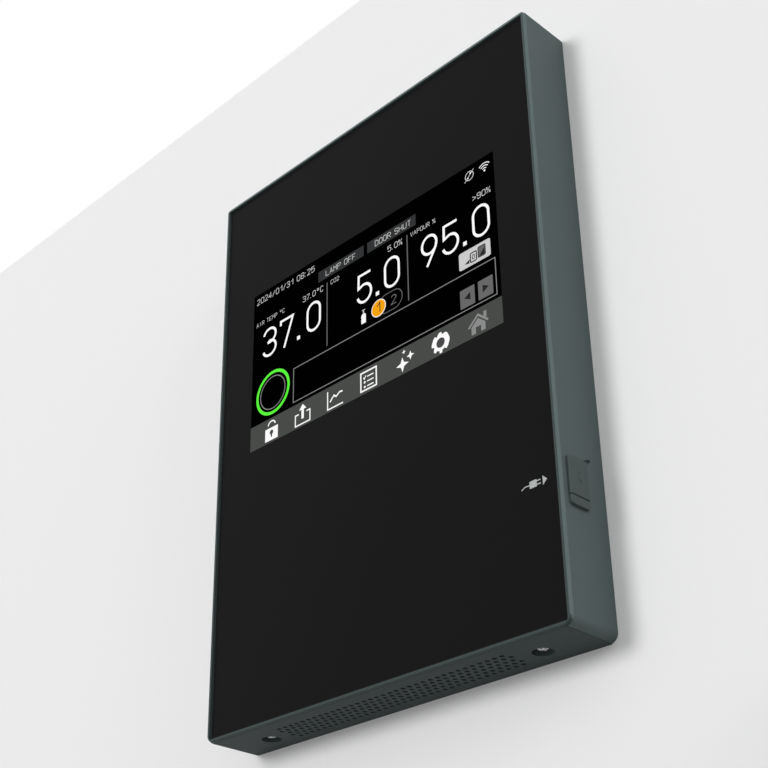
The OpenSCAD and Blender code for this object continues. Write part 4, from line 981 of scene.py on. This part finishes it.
@dataclass
class Screen:
    """The lit display: readings, a status ring, a message box and a bar of generic pictograms."""

    canvas: Canvas
    width_mm: float = 156.2
    height_mm: float = 87.8
    bar_top: float = 74.6
    bar_low: float = 87.6

    def build(self) -> None:
        """Draws the whole display, from its upper left corner, and turns it into pieces."""
        self.canvas.pen(Finishes.screen_black, 1).bar(0, 0, self.width_mm, self.height_mm)
        self.status()
        self.readings()
        self.gas_line()
        self.button()
        self.message()
        self.toolbar()
        self.canvas.pieces("display")

    def status(self) -> None:
        """Draws the top line: a date, two state chips and two small signs."""
        c = self.canvas
        c.pen(Finishes.pale).words("2024/01/31 08:25", 2.2, 6.0, 3.1)
        c.ring(142.4, 5.5, 2.3, 0.42)
        for x0, x1, text in ((46.5, 77.0, "LAMP OFF"), (79.3, 110.0, "DOOR SHUT")):
            c.pen(Finishes.chip).bar(x0, 8.3, x1, 14.2)
            c.pen(Finishes.pale, 3).words(text, x0 + 5.2, 12.8, 2.9)
        c.stroke(0.36, (139.6, 8.1), (144.9, 3.0))
        c.pen(Finishes.white, 3).disc(143.1, 4.4, 0.5)
        c.disc(141.6, 6.5, 0.4)
        c.pen(Finishes.white).disc(151.0, 7.5, 0.5)
        for radius in (1.5, 2.8, 4.1):
            c.ring(151.0, 7.6, radius, 0.45, 225, 315)

    def readings(self) -> None:
        """Draws the three readings with their set values."""
        c = self.canvas
        c.pen(Finishes.pale)
        for x, text, goal_x, goal in ((2.2, "AIR TEMP °C", 49.8, "37.0°C"), (55.0, "CO2", 101.2, "5.0%"),
                                      (106.6, "VAPOUR %", 153.4, ">90%")):
            c.words(text, x, 19.2, 2.2)
            c.words(goal, goal_x, 20.1, 2.9, True)
        c.pen(Finishes.dim)
        for x in (52.5, 104.4):
            c.bar(x - 0.3, 17.0, x + 0.3, 52.0)
        c.pen(Finishes.white)
        for text, starts, top in (("37.0", (7.4, 19.5, 31.9, 38.4), 23.2), ("5.0", (72.2, 84.4, 89.7), 23.7),
                                  ("95.0", (112.6, 125.0, 137.0, 142.5), 23.8)):
            Digits().draw(c, text, starts, top)

    def gas_line(self) -> None:
        """Draws the gas cylinder and the marks of its two lines, the first one active."""
        c = self.canvas
        c.pen(Finishes.white).shape((75.0, 50.8), (75.0, 46.6), (75.6, 45.7), (77.3, 45.7), (77.9, 46.6),
                                    (77.9, 50.8))
        c.pen(Finishes.pale).bar(76.1, 44.0, 76.8, 45.8)
        c.bar(75.5, 43.5, 77.4, 43.9)
        c.pen(Finishes.dim).box(0.4, 85.9, 42.2, 100.6, 51.9, 4.8, 8)
        c.pen(Finishes.white, 3).disc(86.0, 47.2, 4.5)
        c.pen(Finishes.orange, 4).disc(86.0, 47.2, 4.1)
        c.pen(Finishes.ink, 5).words("1", 84.4, 49.6, 5.0)
        c.pen(Finishes.dim, 3).words("2", 93.9, 49.2, 4.4)

    def button(self) -> None:
        """Draws the pale button with its generic sign."""
        c = self.canvas
        c.pen(Finishes.pale).bar(134.2, 43.2, 151.8, 52.0, 1.0)
        c.pen(Finishes.dim, 3).bar(145.0, 44.9, 149.0, 50.1, 0.5)
        c.pen(Finishes.ink, 3).stroke(0.7, (140.6, 48.9), (139.0, 49.5))
        c.shape((139.6, 48.6), (137.4, 50.0), (140.0, 50.5))
        c.box(0.6, 140.6, 45.9, 144.0, 50.5, 0.6)
        c.box(0.4, 141.7, 47.1, 142.9, 49.3, 0.55)
        c.pen(Finishes.ink, 4).box(0.45, 145.0, 44.9, 149.0, 50.1, 0.5)
        c.shape((145.4, 49.7), (148.6, 46.2), (148.6, 49.7))

    def message(self) -> None:
        """Draws the status ring and the empty message box with its two arrow keys."""
        c = self.canvas
        c.pen(Finishes.green).ring(15.3, 60.8, 11.05, 1.6)
        c.pen(Finishes.mid).ring(15.2, 60.9, 8.65, 0.45)
        c.box(0.42, 29.8, 54.4, 153.8, 72.6)
        for x, way in ((133.9, -1), (143.9, 1)):
            middle = x + 4.05
            c.pen(Finishes.dim, 3).bar(x, 61.9, x + 8.1, 71.2, 0.4)
            c.pen(Finishes.ink, 4).shape((middle + 1.8 * way, 66.5), (middle - 1.6 * way, 64.6),
                                         (middle - 1.6 * way, 68.4))

    def toolbar(self) -> None:
        """Draws the lower bar and its seven pictograms, each around an origin of its own."""
        c = self.canvas
        c.pen(Finishes.bar).bar(0, self.bar_top, self.width_mm, self.bar_low)
        for draw, x, y in ((self.lock, 15.0, 81.4), (self.upload, 36.4, 81.2), (self.chart, 57.8, 81.4),
                           (self.checklist, 79.1, 81.1), (self.sparkle, 101.5, 81.2),
                           (self.gear, 122.0, 81.7), (self.house, 143.0, 81.6)):
            c.x, c.y = x, y
            c.pen(Finishes.white, 3)
            draw()

    def lock(self) -> None:
        """Draws an open padlock."""
        c = self.canvas
        c.bar(-4.4, -1.6, 4.4, 5.0)
        c.ring(0, -2.6, 2.5, 0.7, 190, 350)
        c.pen(Finishes.bar, 4).disc(0, 0.9, 1.25)
        c.bar(-0.5, 1.2, 0.5, 3.4)

    def upload(self) -> None:
        """Draws an arrow that rises out of a tray."""
        c = self.canvas
        c.stroke(0.7, (-2.6, -0.6), (-4.9, -0.6), (-4.9, 5.0), (4.9, 5.0), (4.9, -0.6), (2.6, -0.6))
        c.bar(-0.8, -3.0, 0.8, 2.4)
        c.shape((-2.4, -2.4), (0, -5.2), (2.4, -2.4))

    def chart(self) -> None:
        """Draws a line chart in its two axes."""
        c = self.canvas
        c.stroke(0.7, (-4.8, -4.6), (-4.8, 4.7), (5.2, 4.7))
        c.pen(Finishes.white, 4).stroke(0.8, (-3.2, 1.3), (-0.7, -1.3), (0.8, -0.1), (3.0, -1.6), (4.9, -1.3))

    def checklist(self) -> None:
        """Draws a framed list of three lines, the first one ticked."""
        c = self.canvas
        c.box(0.8, -4.8, -4.5, 4.8, 4.7)
        for row in (-1.8, 0.6, 3.0):
            c.bar(-0.9, row - 0.3, 3.1, row + 0.3)
            if row > 0:
                c.disc(-2.4, row, 0.6)
        c.stroke(0.6, (-3.2, -1.9), (-2.6, -1.2), (-1.6, -2.5))

    def sparkle(self) -> None:
        """Draws three stars of four points."""
        c = self.canvas
        for x, y, size in ((-1.8, 1.6, 3.7), (3.0, -1.2, 2.3), (-0.8, -4.4, 1.2)):
            c.shape(*around(x, y, [(45 * i, size * (0.38 if i % 2 else 1)) for i in range(8)]))

    def gear(self) -> None:
        """Draws a gear wheel of eight teeth with a round hole."""
        c = self.canvas
        tooth = ((-12, 3.9), (-8, 5.1), (8, 5.1), (12, 3.9))
        c.shape(*around(0, 0, [(45 * i + turn, reach) for i in range(8) for turn, reach in tooth]))
        c.pen(Finishes.bar, 4).disc(0, 0, 2.4)

    def house(self) -> None:
        """Draws a house in grey."""
        c = self.canvas
        c.pen(Finishes.mid, 3).stroke(1.0, (-5.3, 0.7), (0, -4.0), (5.3, 0.7))
        c.bar(3.0, -4.2, 4.6, -1.2)
        c.shape((-3.8, 0.9), (0, -2.4), (3.8, 0.9), (3.8, 4.6), (1.4, 4.6), (1.4, 1.6), (-1.4, 1.6),
                (-1.4, 4.6), (-3.8, 4.6))


@dataclass
class ControlPanel:
    """The slate housing with its cover glass, underside cover, screws, USB cover and display."""

    radius_low_mm: float = 4.0
    radius_top_mm: float = 2.0
    chamfer_in_mm: float = 0.6
    chamfer_deep_mm: float = 1.5
    rim_mm: float = 1.85
    glass_radius_mm: float = 0.6
    ground_mm: float = 0.35
    wall_mm: float = 2.5
    plate_mm: float = 1.2
    gap_mm: float = 0.12
    ledge_mm: float = 7.1
    screw_room_mm: float = 3.0
    window_mm: Point = (3.0, 5.9)
    notch_mm: tuple[Point, ...] = ((-3.0, 0.2), (0, -1.6), (4.0, 2.2), (3.4, 2.9))
    notch_deep_mm: float = 0.9
    notch_out_mm: float = 0.5
    head_mm: float = 2.0
    head_edge_mm: float = 0.9
    dome_mm: float = 0.45
    cross_mm: Point = (0.42, 0.9)
    shank_mm: Point = (1.5, 11.0)
    flap_round_mm: float = 1.6
    seam_round_mm: float = 0.15
    sign_mm: float = 0.12
    screen_left_mm: float = -78.1
    screen_top_mm: float = 223.8
    layer_mm: float = 0.03
    # Painted shade and painted light on the housing's front rim, and the width over which they blend.
    painted_rim_shade: float = 0.5
    painted_rim_light: float = 1.5
    painted_rim_blend_mm: float = 1.5
    # Painted highlight on the cover glass's ground edge, which also stands for its frosted look.
    frosted_edge_and_highlight: float = 5.0

    def __post_init__(self) -> None:
        """Reads the panel's place from the frame."""
        self.low, self.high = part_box("panel_housing")
        self.glass_low, self.glass_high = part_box("panel_glass")

    def build(self) -> None:
        """Builds and dresses every piece of the panel."""
        self.housing()
        self.glass()
        # The under cover takes the darker slate: painted shade on the face that looks down.
        refine("panel_under_cover", Finishes.slate_dark, 0.12, 60)
        self.screws()
        self.usb_cover()
        self.drawings()
        keep(Finishes.zinc, "panel_back_plate")
        keep(Finishes.board, "control_board")
        keep(Finishes.dark_plastic, "speaker")
        keep(Finishes.display, "display_module")
        keep(Finishes.bright, "usb_socket")

    def ring(self, inset_mm: float, deep_mm: float) -> tuple[float, list[Point]]:
        """Gives the housing's outline, drawn in by an inset, at a depth behind its front.

        Args:
            inset_mm: Distance from the outer outline.
            deep_mm: Depth behind the front.

        Returns:
            The ring's place along Y and its points.
        """
        low, top = self.radius_low_mm - inset_mm, self.radius_top_mm - inset_mm
        if inset_mm > self.chamfer_in_mm + 0.2:
            low = top = self.glass_radius_mm + max(self.rim_mm - inset_mm, 0)
        radii = [radius * MM for radius in (low, low, top, top)]
        points = rounded_ring(self.low.xz, self.high.xz, radii, inset=inset_mm * MM)
        return self.low.y + deep_mm * MM, points

    def housing(self) -> None:
        """Builds the housing's closed shell and cuts the under cover's room and the USB window."""
        depth, glass_back = ((y - self.low.y) / MM for y in (self.high.y, self.glass_high.y))
        a, b = self.chamfer_in_mm, self.chamfer_deep_mm
        steps = [
            (0.5, depth), (0.12, depth - 0.12), (0, depth - 0.5), (0, b + 0.12), (0.04, b - 0.08),
            (a - 0.05, 0.14), (a + 0.15, 0), (self.rim_mm - 0.3, 0), (self.rim_mm - 0.08, 0.08),
            (self.rim_mm, 0.3), (self.rim_mm, glass_back), (self.ledge_mm, glass_back),
            (self.ledge_mm, glass_back + self.wall_mm), (self.wall_mm, glass_back + self.wall_mm),
            (self.wall_mm, depth)]
        obj = piece_from(loft(Axis.Y, [self.ring(*step) for step in steps], True), "panel_housing_shell")
        obj.modifiers.clear()
        low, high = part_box("panel_under_cover")
        gap, clear, side = self.gap_mm * MM, 10 * MM, self.high.x
        left, right, under, behind = low.x - gap, high.x + gap, low.z - clear, high.y + clear
        room, (edge, deep) = self.glass_high.y + self.screw_room_mm * MM, (v * MM for v in self.window_mm)
        plug, plug_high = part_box("usb_socket")
        for one, two in (
                ((left, low.y - gap, under), (right, behind, low.z + self.plate_mm * MM + gap)),
                ((left, room, under), (right, behind, high.z + gap)),
                ((side - 4 * MM, plug.y, plug.z + edge), (side + MM, plug.y + deep, plug_high.z - edge))):
            cut(obj, add_box(bmesh.new(), one, two))
        cut(obj, self.nail_notch(side - self.notch_deep_mm * MM, side + self.notch_out_mm * MM))
        shade(obj, 30)
        # Painted light and shade on the front rim, stored as a factor of its colour: paler on the right
        # chamfer and the upper rim, darker elsewhere on it.
        paint(obj, self.rim_tone)
        settle(obj, Finishes.housing, "panel_housing")

    def rim_tone(self, place: Vector) -> float:
        """Gives the housing's painted light and shade: paler on the right chamfer and the upper rim, darker
        elsewhere on the front rim.

        Args:
            place: A point of the housing.

        Returns:
            The factor of its colour.
        """
        if place.y > self.low.y + self.chamfer_deep_mm * MM:
            return 1.0
        # dark is the distance to the edges that get painted shade; pale is the distance to those that get
        # painted light.
        dark = min(place.x - self.low.x, place.z - self.low.z)
        right, pale = self.high.x - place.x, self.high.z - place.z
        if min(dark, right, pale) > self.chamfer_in_mm * MM:
            dark = min(dark, right)
        else:
            pale = min(pale, right)
        share = 0.5 + (dark - pale) / (2 * self.painted_rim_blend_mm * MM)
        return self.painted_rim_shade + (self.painted_rim_light - self.painted_rim_shade) * min(max(share, 0), 1)

    def nail_notch(self, x0: float, x1: float) -> BMesh:
        """Gives the wedge that is cut at the USB cover's upper rear corner for a finger nail.

        Args:
            x0: The wedge's inner end.
            x1: Its outer end.

        Returns:
            The cutter.
        """
        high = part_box("usb_cover")[1]
        outline = [(high.y + y * MM, high.z + z * MM) for y, z in self.notch_mm]
        return loft(Axis.X, [(x0, outline), (x1, outline)])

    def glass(self) -> None:
        """Builds the cover glass with a ground edge, paler than its face partly as frosted glass and partly
        as a painted highlight.
        """
        low, high = self.glass_low, self.glass_high
        ground, radii = self.ground_mm * MM, [self.glass_radius_mm * MM] * 4
        flat, limit = ground + 0.1 * MM, ground + 0.05 * MM
        rings = [(y, rounded_ring(low.xz, high.xz, radii, 5, inset))
                 for inset, y in ((0, high.y), (0, low.y + ground), (ground, low.y), (flat, low.y))]
        obj = piece_from(loft(Axis.Y, rings), "cover_glass")
        # The ground edge is made paler, partly as frosted glass and partly as a painted highlight.
        paint(obj, lambda place: self.frosted_edge_and_highlight if min(
            *(place.xz - low.xz), *(high.xz - place.xz)) < limit else 1.0)
        settle(obj, Finishes.black_glass, "panel_glass")

    def screws(self) -> None:
        """Builds the two pan-head screws in the underside, each with a cross recess."""
        low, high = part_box("panel_screws")
        radius, y = (high.y - low.y) / 2, (low.y + high.y) / 2
        bm = bmesh.new()
        for x in (low.x + radius, high.x - radius):
            self.screw(bm, Vector((x, y, low.z)), radius)
        settle(piece_from(bm, "panel_screw_heads"), Finishes.bright, "panel_screws")

    def screw(self, bm: BMesh, spot: Vector, radius: float) -> None:
        """Adds one screw whose head faces down.

        Args:
            bm: The bmesh that it is added to.
            spot: The middle of the head's face.
            radius: The head's radius.
        """
        rings, sides = 9, 48
        cross, cross_deep = (v * MM for v in self.cross_mm)
        shank, length = self.shank_mm
        unit = [around(0, 0, [(360 * i / sides, 1)])[0] for i in range(sides)]
        rows = []
        for i in range(1, rings + 1):
            share, reach = i / rings, radius * i / rings
            row = []
            for x, y in unit:
                inside = min(abs(x), abs(y)) * reach < cross and share < 0.66
                dome = self.dome_mm * MM * share ** 2.4
                row.append((reach * x, reach * y, dome + (cross_deep if inside else 0)))
            rows.append(row)
        for drop, reach in ((self.head_edge_mm, radius), (self.head_mm, radius),
                            (self.head_mm, shank * MM), (length, shank * MM)):
            rows.append([(reach * x, reach * y, drop * MM) for x, y in unit])
        skin(bm, [[bm.verts.new(spot + Vector(step)) for step in row] for row in rows])

    def usb_cover(self) -> None:
        """Builds the rubber cover's moving flap, its fixed root and a raised plug sign."""
        flap, seam, out = [self.flap_round_mm] * 2, [self.seam_round_mm] * 2, self.notch_out_mm * MM
        for node, radii in (("usb_cover", seam + flap), ("usb_cover_root", flap + seam)):
            low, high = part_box(node)
            rings = []
            for inset, x in ((0, low.x), (0, high.x - 0.5 * MM), (0.16, high.x - 0.16 * MM), (0.5, high.x)):
                rounds = [max(radius - inset, 0.1) * MM for radius in radii]
                rings.append((x, rounded_ring(low.yz, high.yz, rounds, 6, inset * MM)))
            obj = piece_from(loft(Axis.X, rings), node + "_rubber")
            if node == "usb_cover":
                obj.modifiers.clear()
                cut(obj, self.nail_notch(low.x - out, high.x + out))
                bm = from_mesh(obj.data)
                bpy.data.objects.remove(obj)
                self.plug_sign(bm, Vector((high.x, (low.y + high.y) / 2, (low.z + high.z) / 2)))
                obj = piece_from(bm, node + "_rubber")
            settle(obj, Finishes.slate_rubber, node)

    def plug_sign(self, bm: BMesh, spot: Vector) -> None:
        """Adds a low raised plug with two prongs.

        Args:
            bm: The bmesh that it is added to.
            spot: A point on the flap's face, in the middle of the sign.
        """
        for y0, z0, y1, z1 in ((-1.1, -1.2, 1.1, 0.9), (-0.75, 0.9, -0.3, 2.1), (0.3, 0.9, 0.75, 2.1),
                               (-0.22, -2.6, 0.22, -1.2)):
            add_box(bm, spot + Vector((-0.05, y0, z0)) * MM, spot + Vector((self.sign_mm, y1, z1)) * MM)

    def drawings(self) -> None:
        """Draws the display and the small plug sign at the glass's right edge."""
        middle, bottom = (self.low.x + self.high.x) / 2, self.low.z
        glass, step = self.glass_low.y, self.layer_mm * MM
        left, top = middle + self.screen_left_mm * MM, bottom + self.screen_top_mm * MM
        Screen(Canvas(left, top, glass, step)).build()
        mark = Canvas(middle, bottom, glass, step).pen(Finishes.print_pale)
        for corners in ((85.6, -61.4, 89.0, -58.4), (89.0, -60.9, 90.9, -60.4), (89.0, -59.4, 90.9, -58.9)):
            mark.bar(*corners)
        mark.stroke(0.45, (81.6, -59.0), (83.2, -59.9), (85.6, -59.9))
        mark.shape((91.9, -61.9), (94.0, -59.9), (91.9, -57.9))
        mark.pieces("glass_mark")


class OuterDoor:
    """The insulated door that carries the panel."""

    def build(self) -> None:
        """Builds and dresses the door's pieces."""
        refine("door_skin", Finishes.door, 0.9)
        refine("door_liner", Finishes.liner, 0.8)
        refine("door_seal", Finishes.grey_rubber, 1.5)
        refine("door_handle", Finishes.slate, 1.5, 40)
        refine("hinge_bushes", Finishes.white_plastic, 0.3)
        keep(Finishes.foam, "door_insulation")


class InnerDoor:
    """The glass door in front of the chamber."""

    def build(self) -> None:
        """Builds and dresses the inner door's pieces."""
        refine("inner_door_glass", Finishes.clear, 0.8)
        refine("inner_hinge_clamps", Finishes.bright)
        refine("inner_hinge_posts", Finishes.bright)
        refine("inner_door_grip", Finishes.dark_plastic, 1.2)
        refine("inner_door_seal", Finishes.silicone, 1.2)
        refine("magnet_catch", Finishes.white_plastic, 0.8)


@dataclass
class Chamber:
    """The stainless chamber and what it holds."""

    patterns: Patterns
    hole_mm: float = 9.0
    hole_pitch_mm: float = 18.0
    shelf_rim_mm: float = 14.0
    sheet_mm: float = 1.0
    duct_rise_mm: float = 80.0

    def shelf(self, node: str) -> None:
        """Builds a shelf: a perforated deck in a plain rim, with folded lips in front and behind.

        Args:
            node: The CAD node that it replaces.
        """
        low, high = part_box(node)
        lip = max(v.co.x for v in frame["nodes"][node].data.vertices if v.co.z < low.z + MM)
        pitch, thick, rims = self.hole_pitch_mm * MM, self.sheet_mm * MM, 2 * self.shelf_rim_mm * MM
        columns, rows = (int((high[i] - low[i] - rims) / pitch) for i in (0, 1))
        middle = Vector(((low.x + high.x) / 2, (low.y + high.y) / 2, high.z - thick))
        x, y, under = columns * pitch / 2, rows * pitch / 2, high.z - thick
        bm = bmesh.new()
        for one, two in (
                ((-high.x, low.y, under), (-x, high.y, high.z)),
                ((x, low.y, under), (high.x, high.y, high.z)),
                ((-x, low.y, under), (x, middle.y - y, high.z)),
                ((-x, middle.y + y, under), (x, high.y, high.z)),
                ((-lip, low.y, low.z), (lip, low.y + thick, under)),
                ((-lip, high.y - thick, low.z), (lip, high.y, under))):
            add_box(bm, one, two)
        bmesh.ops.translate(bm, verts=bm.verts, vec=-middle)
        obj = piece_from(bm, node + "_deck", False)
        self.patterns.sheet.apply(obj, Finishes.stainless, Columns=columns, Rows=rows, Pitch_X=pitch,
                                  Pitch_Y=pitch, Hole=self.hole_mm / 2 * MM, Depth=thick)
        obj.data.transform(Matrix.Translation(middle))
        settle(obj, Finishes.stainless, node)

    def build(self) -> None:
        """Builds and dresses the chamber's pieces."""
        for node in ("chamber", "shelf_rack_left", "shelf_rack_right", "humidity_pan"):
            refine(node, Finishes.stainless, 0.3)
        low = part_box("air_duct_cover")[0]
        middle = Vector((0, low.y, low.z + self.duct_rise_mm * MM))
        slots = self.patterns.slot_rows(middle, FRONT, (6, 6), (66, 15), (46, 5))
        refine("air_duct_cover", Finishes.stainless, 0.3, cutters=[slots])
        for i in range(1, 5):
            self.shelf(f"shelf_{i}")
        refine("temperature_probe", Finishes.stainless)
        refine("fan_motor", Finishes.motor, 0.8)
        refine("fan_wheel", Finishes.white_plastic, 0.3, 50)
        refine("fan_shaft", Finishes.bright)
        refine("uv_lamp", Finishes.lamp, 0.8)
        refine("lamp_holders", Finishes.white_plastic, 0.6)
        refine("gas_sensor", Finishes.white_plastic, 0.8)
        keep(Finishes.foam, "insulation")


@dataclass
class Cabinet:
    """The casing, its feet, hinges and rear services."""

    patterns: Patterns

    def build(self) -> None:
        """Builds and dresses the casing's pieces."""
        for node in ("side_panel_left", "side_panel_right", "top_panel", "rear_panel"):
            refine(node, Finishes.casing)
        low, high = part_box("service_cover")
        middle = Vector(((low.x + high.x) / 2, high.y, (low.z + high.z) / 2))
        vents = self.patterns.slot_rows(middle, REAR, (2, 9), (104, 9.5), (78, 3.6))
        refine("service_cover", Finishes.casing, cutters=[vents])
        refine("front_collar", Finishes.liner, 0.5)
        refine("base_plate", Finishes.zinc, 0.5)
        refine("hinge_bracket_top", Finishes.zinc, 0.6)
        refine("hinge_bracket_bottom", Finishes.zinc, 0.6)
        heads = [self.patterns.screw_stars("casing_screws", way, 2.0, 1.1, seed)
                 for way, seed in ((REAR, 3), (UP, 4))]
        refine("casing_screws", Finishes.bright, 0.3, cutters=heads)
        for place in ("front_left", "front_right", "rear_left", "rear_right"):
            refine(f"levelling_foot_{place}", Finishes.foot, 0.8)
        refine("power_inlet", Finishes.dark_plastic, 0.5)
        refine("power_switch", Finishes.dark_plastic, 0.5)
        refine("gas_inlets", Finishes.brass, 0.3)
        refine("port_sleeve", Finishes.white_plastic, 0.5)
        refine("port_stopper", Finishes.silicone, 1.2)
        keep(Finishes.board, "service_board")


@dataclass
class Studio:
    """A plain floor, soft lamps, a pale world and the camera."""

    focal_px: float = 1485.4
    frame_px: float = 768.0
    centre_px: Point = (332.2, 457.6)
    camera_mm: tuple[float, float, float] = (396.5, -398.3, -190.2)
    looks_along: tuple[float, float, float] = (-0.64105, 0.61165, 0.46362)
    sensor_mm: float = 36.0
    air_low: float = 0.06
    air_high: float = 0.62
    floor_reach: float = 6.0
    floor_drift: float = 1.5
    sees_from: float = 0.01
    sees_to: float = 50.0

    def build(self) -> None:
        """Sets up the whole studio."""
        self.world()
        self.floor()
        self.lamps()
        self.camera()
        bpy.context.scene.view_settings.view_transform = "Standard"

    def world(self) -> None:
        """White where it is seen or mirrored, and elsewhere brighter above than below."""
        world = bpy.data.worlds.new("studio_air")
        bpy.context.scene.world = world
        tree = Tree(world)
        seen = self.seen(tree)
        height = tree.add("SeparateXYZ", i0=tree.add("TexCoord").outputs["Generated"]).outputs[2]
        rise = tree.out("MapRange", Value=height, From_Min=-1.0, From_Max=1.0, To_Min=self.air_low,
                        To_Max=self.air_high)
        level = tree.out("Mix", {"data_type": "FLOAT"}, Factor=seen, A=rise, B=1.0)
        tree.add("OutputWorld", i0=tree.out("Background", Color=(1, 1, 1, 1), Strength=level))

    def seen(self, tree: Tree) -> NodeSocket:
        """Gives 1 for camera, glossy and transmission rays, and 0 for others."""
        path = tree.add("LightPath").outputs
        first = tree.maths("MAXIMUM", path["Is Camera Ray"], path["Is Glossy Ray"])
        return tree.maths("MAXIMUM", first, path["Is Transmission Ray"])

    def floor(self) -> None:
        """A pale floor that throws little light back up."""
        bm = bmesh.new()
        bmesh.ops.create_grid(bm, x_segments=1, y_segments=1, size=self.floor_reach)
        floor = link("floor", to_mesh(bm, "floor"))
        made = bpy.data.materials.new("floor_pale")
        tree = Tree(made)
        slow = tree.noise(tree.object_space(), self.floor_drift)
        dark, pale = (tree.out("BsdfDiffuse", Color=tree.blend(slow, linear(*[low] * 3), linear(*[high] * 3)))
                      for low, high in ((96, 104), (236, 240)))
        tree.add("OutputMaterial", i0=tree.out("MixShader", i0=self.seen(tree), i1=dark, i2=pale))
        floor.data.materials.append(made)

    def lamps(self) -> None:
        """A soft key from the upper left in front, and fills from the front, right and behind."""
        for name, way, power, size, shadow, gloss in (
                ("key", (0.26, 0.85, -0.17), 1.48, 19, True, False),
                ("front_fill", (0, 1, 0), 0.765, 40, False, False),
                ("side_fill", (-0.85, 0.03, -0.42), 1.2, 40, True, False),
                ("rear_fill", (0.2, -0.8, -0.5), 1.4, 40, True, True)):
            lamp = bpy.data.lights.new(name, "SUN")
            lamp.energy = power
            lamp.angle = math.radians(size)
            lamp.use_shadow = shadow
            obj = link(name, lamp)
            obj.visible_glossy = gloss
            obj.rotation_euler = Vector(way).to_track_quat("-Z", "Y").to_euler()

    def camera(self) -> None:
        """Looks up at the panel from the lower right."""
        low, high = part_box("panel_housing")
        data = bpy.data.cameras.new("camera")
        data.sensor_width = self.sensor_mm
        data.lens = self.focal_px / self.frame_px * self.sensor_mm
        data.shift_x = 0.5 - self.centre_px[0] / self.frame_px
        data.shift_y = self.centre_px[1] / self.frame_px - 0.5
        data.clip_start, data.clip_end = self.sees_from, self.sees_to
        obj = link("camera", data)
        obj.location = Vector(((low.x + high.x) / 2, low.y, low.z)) + Vector(self.camera_mm) * MM
        obj.rotation_euler = Vector(self.looks_along).to_track_quat("-Z", "Y").to_euler()
        bpy.context.scene.camera = obj


def main() -> None:
    """Builds the studio and the incubator."""
    logging.basicConfig(level=logging.INFO)
    patterns = Patterns()
    for group in (Studio(), ControlPanel(), OuterDoor(), InnerDoor(), Chamber(patterns), Cabinet(patterns)):
        LOG.info("building the %s", type(group).__name__)
        group.build()


if __name__ == "__main__":
    main()
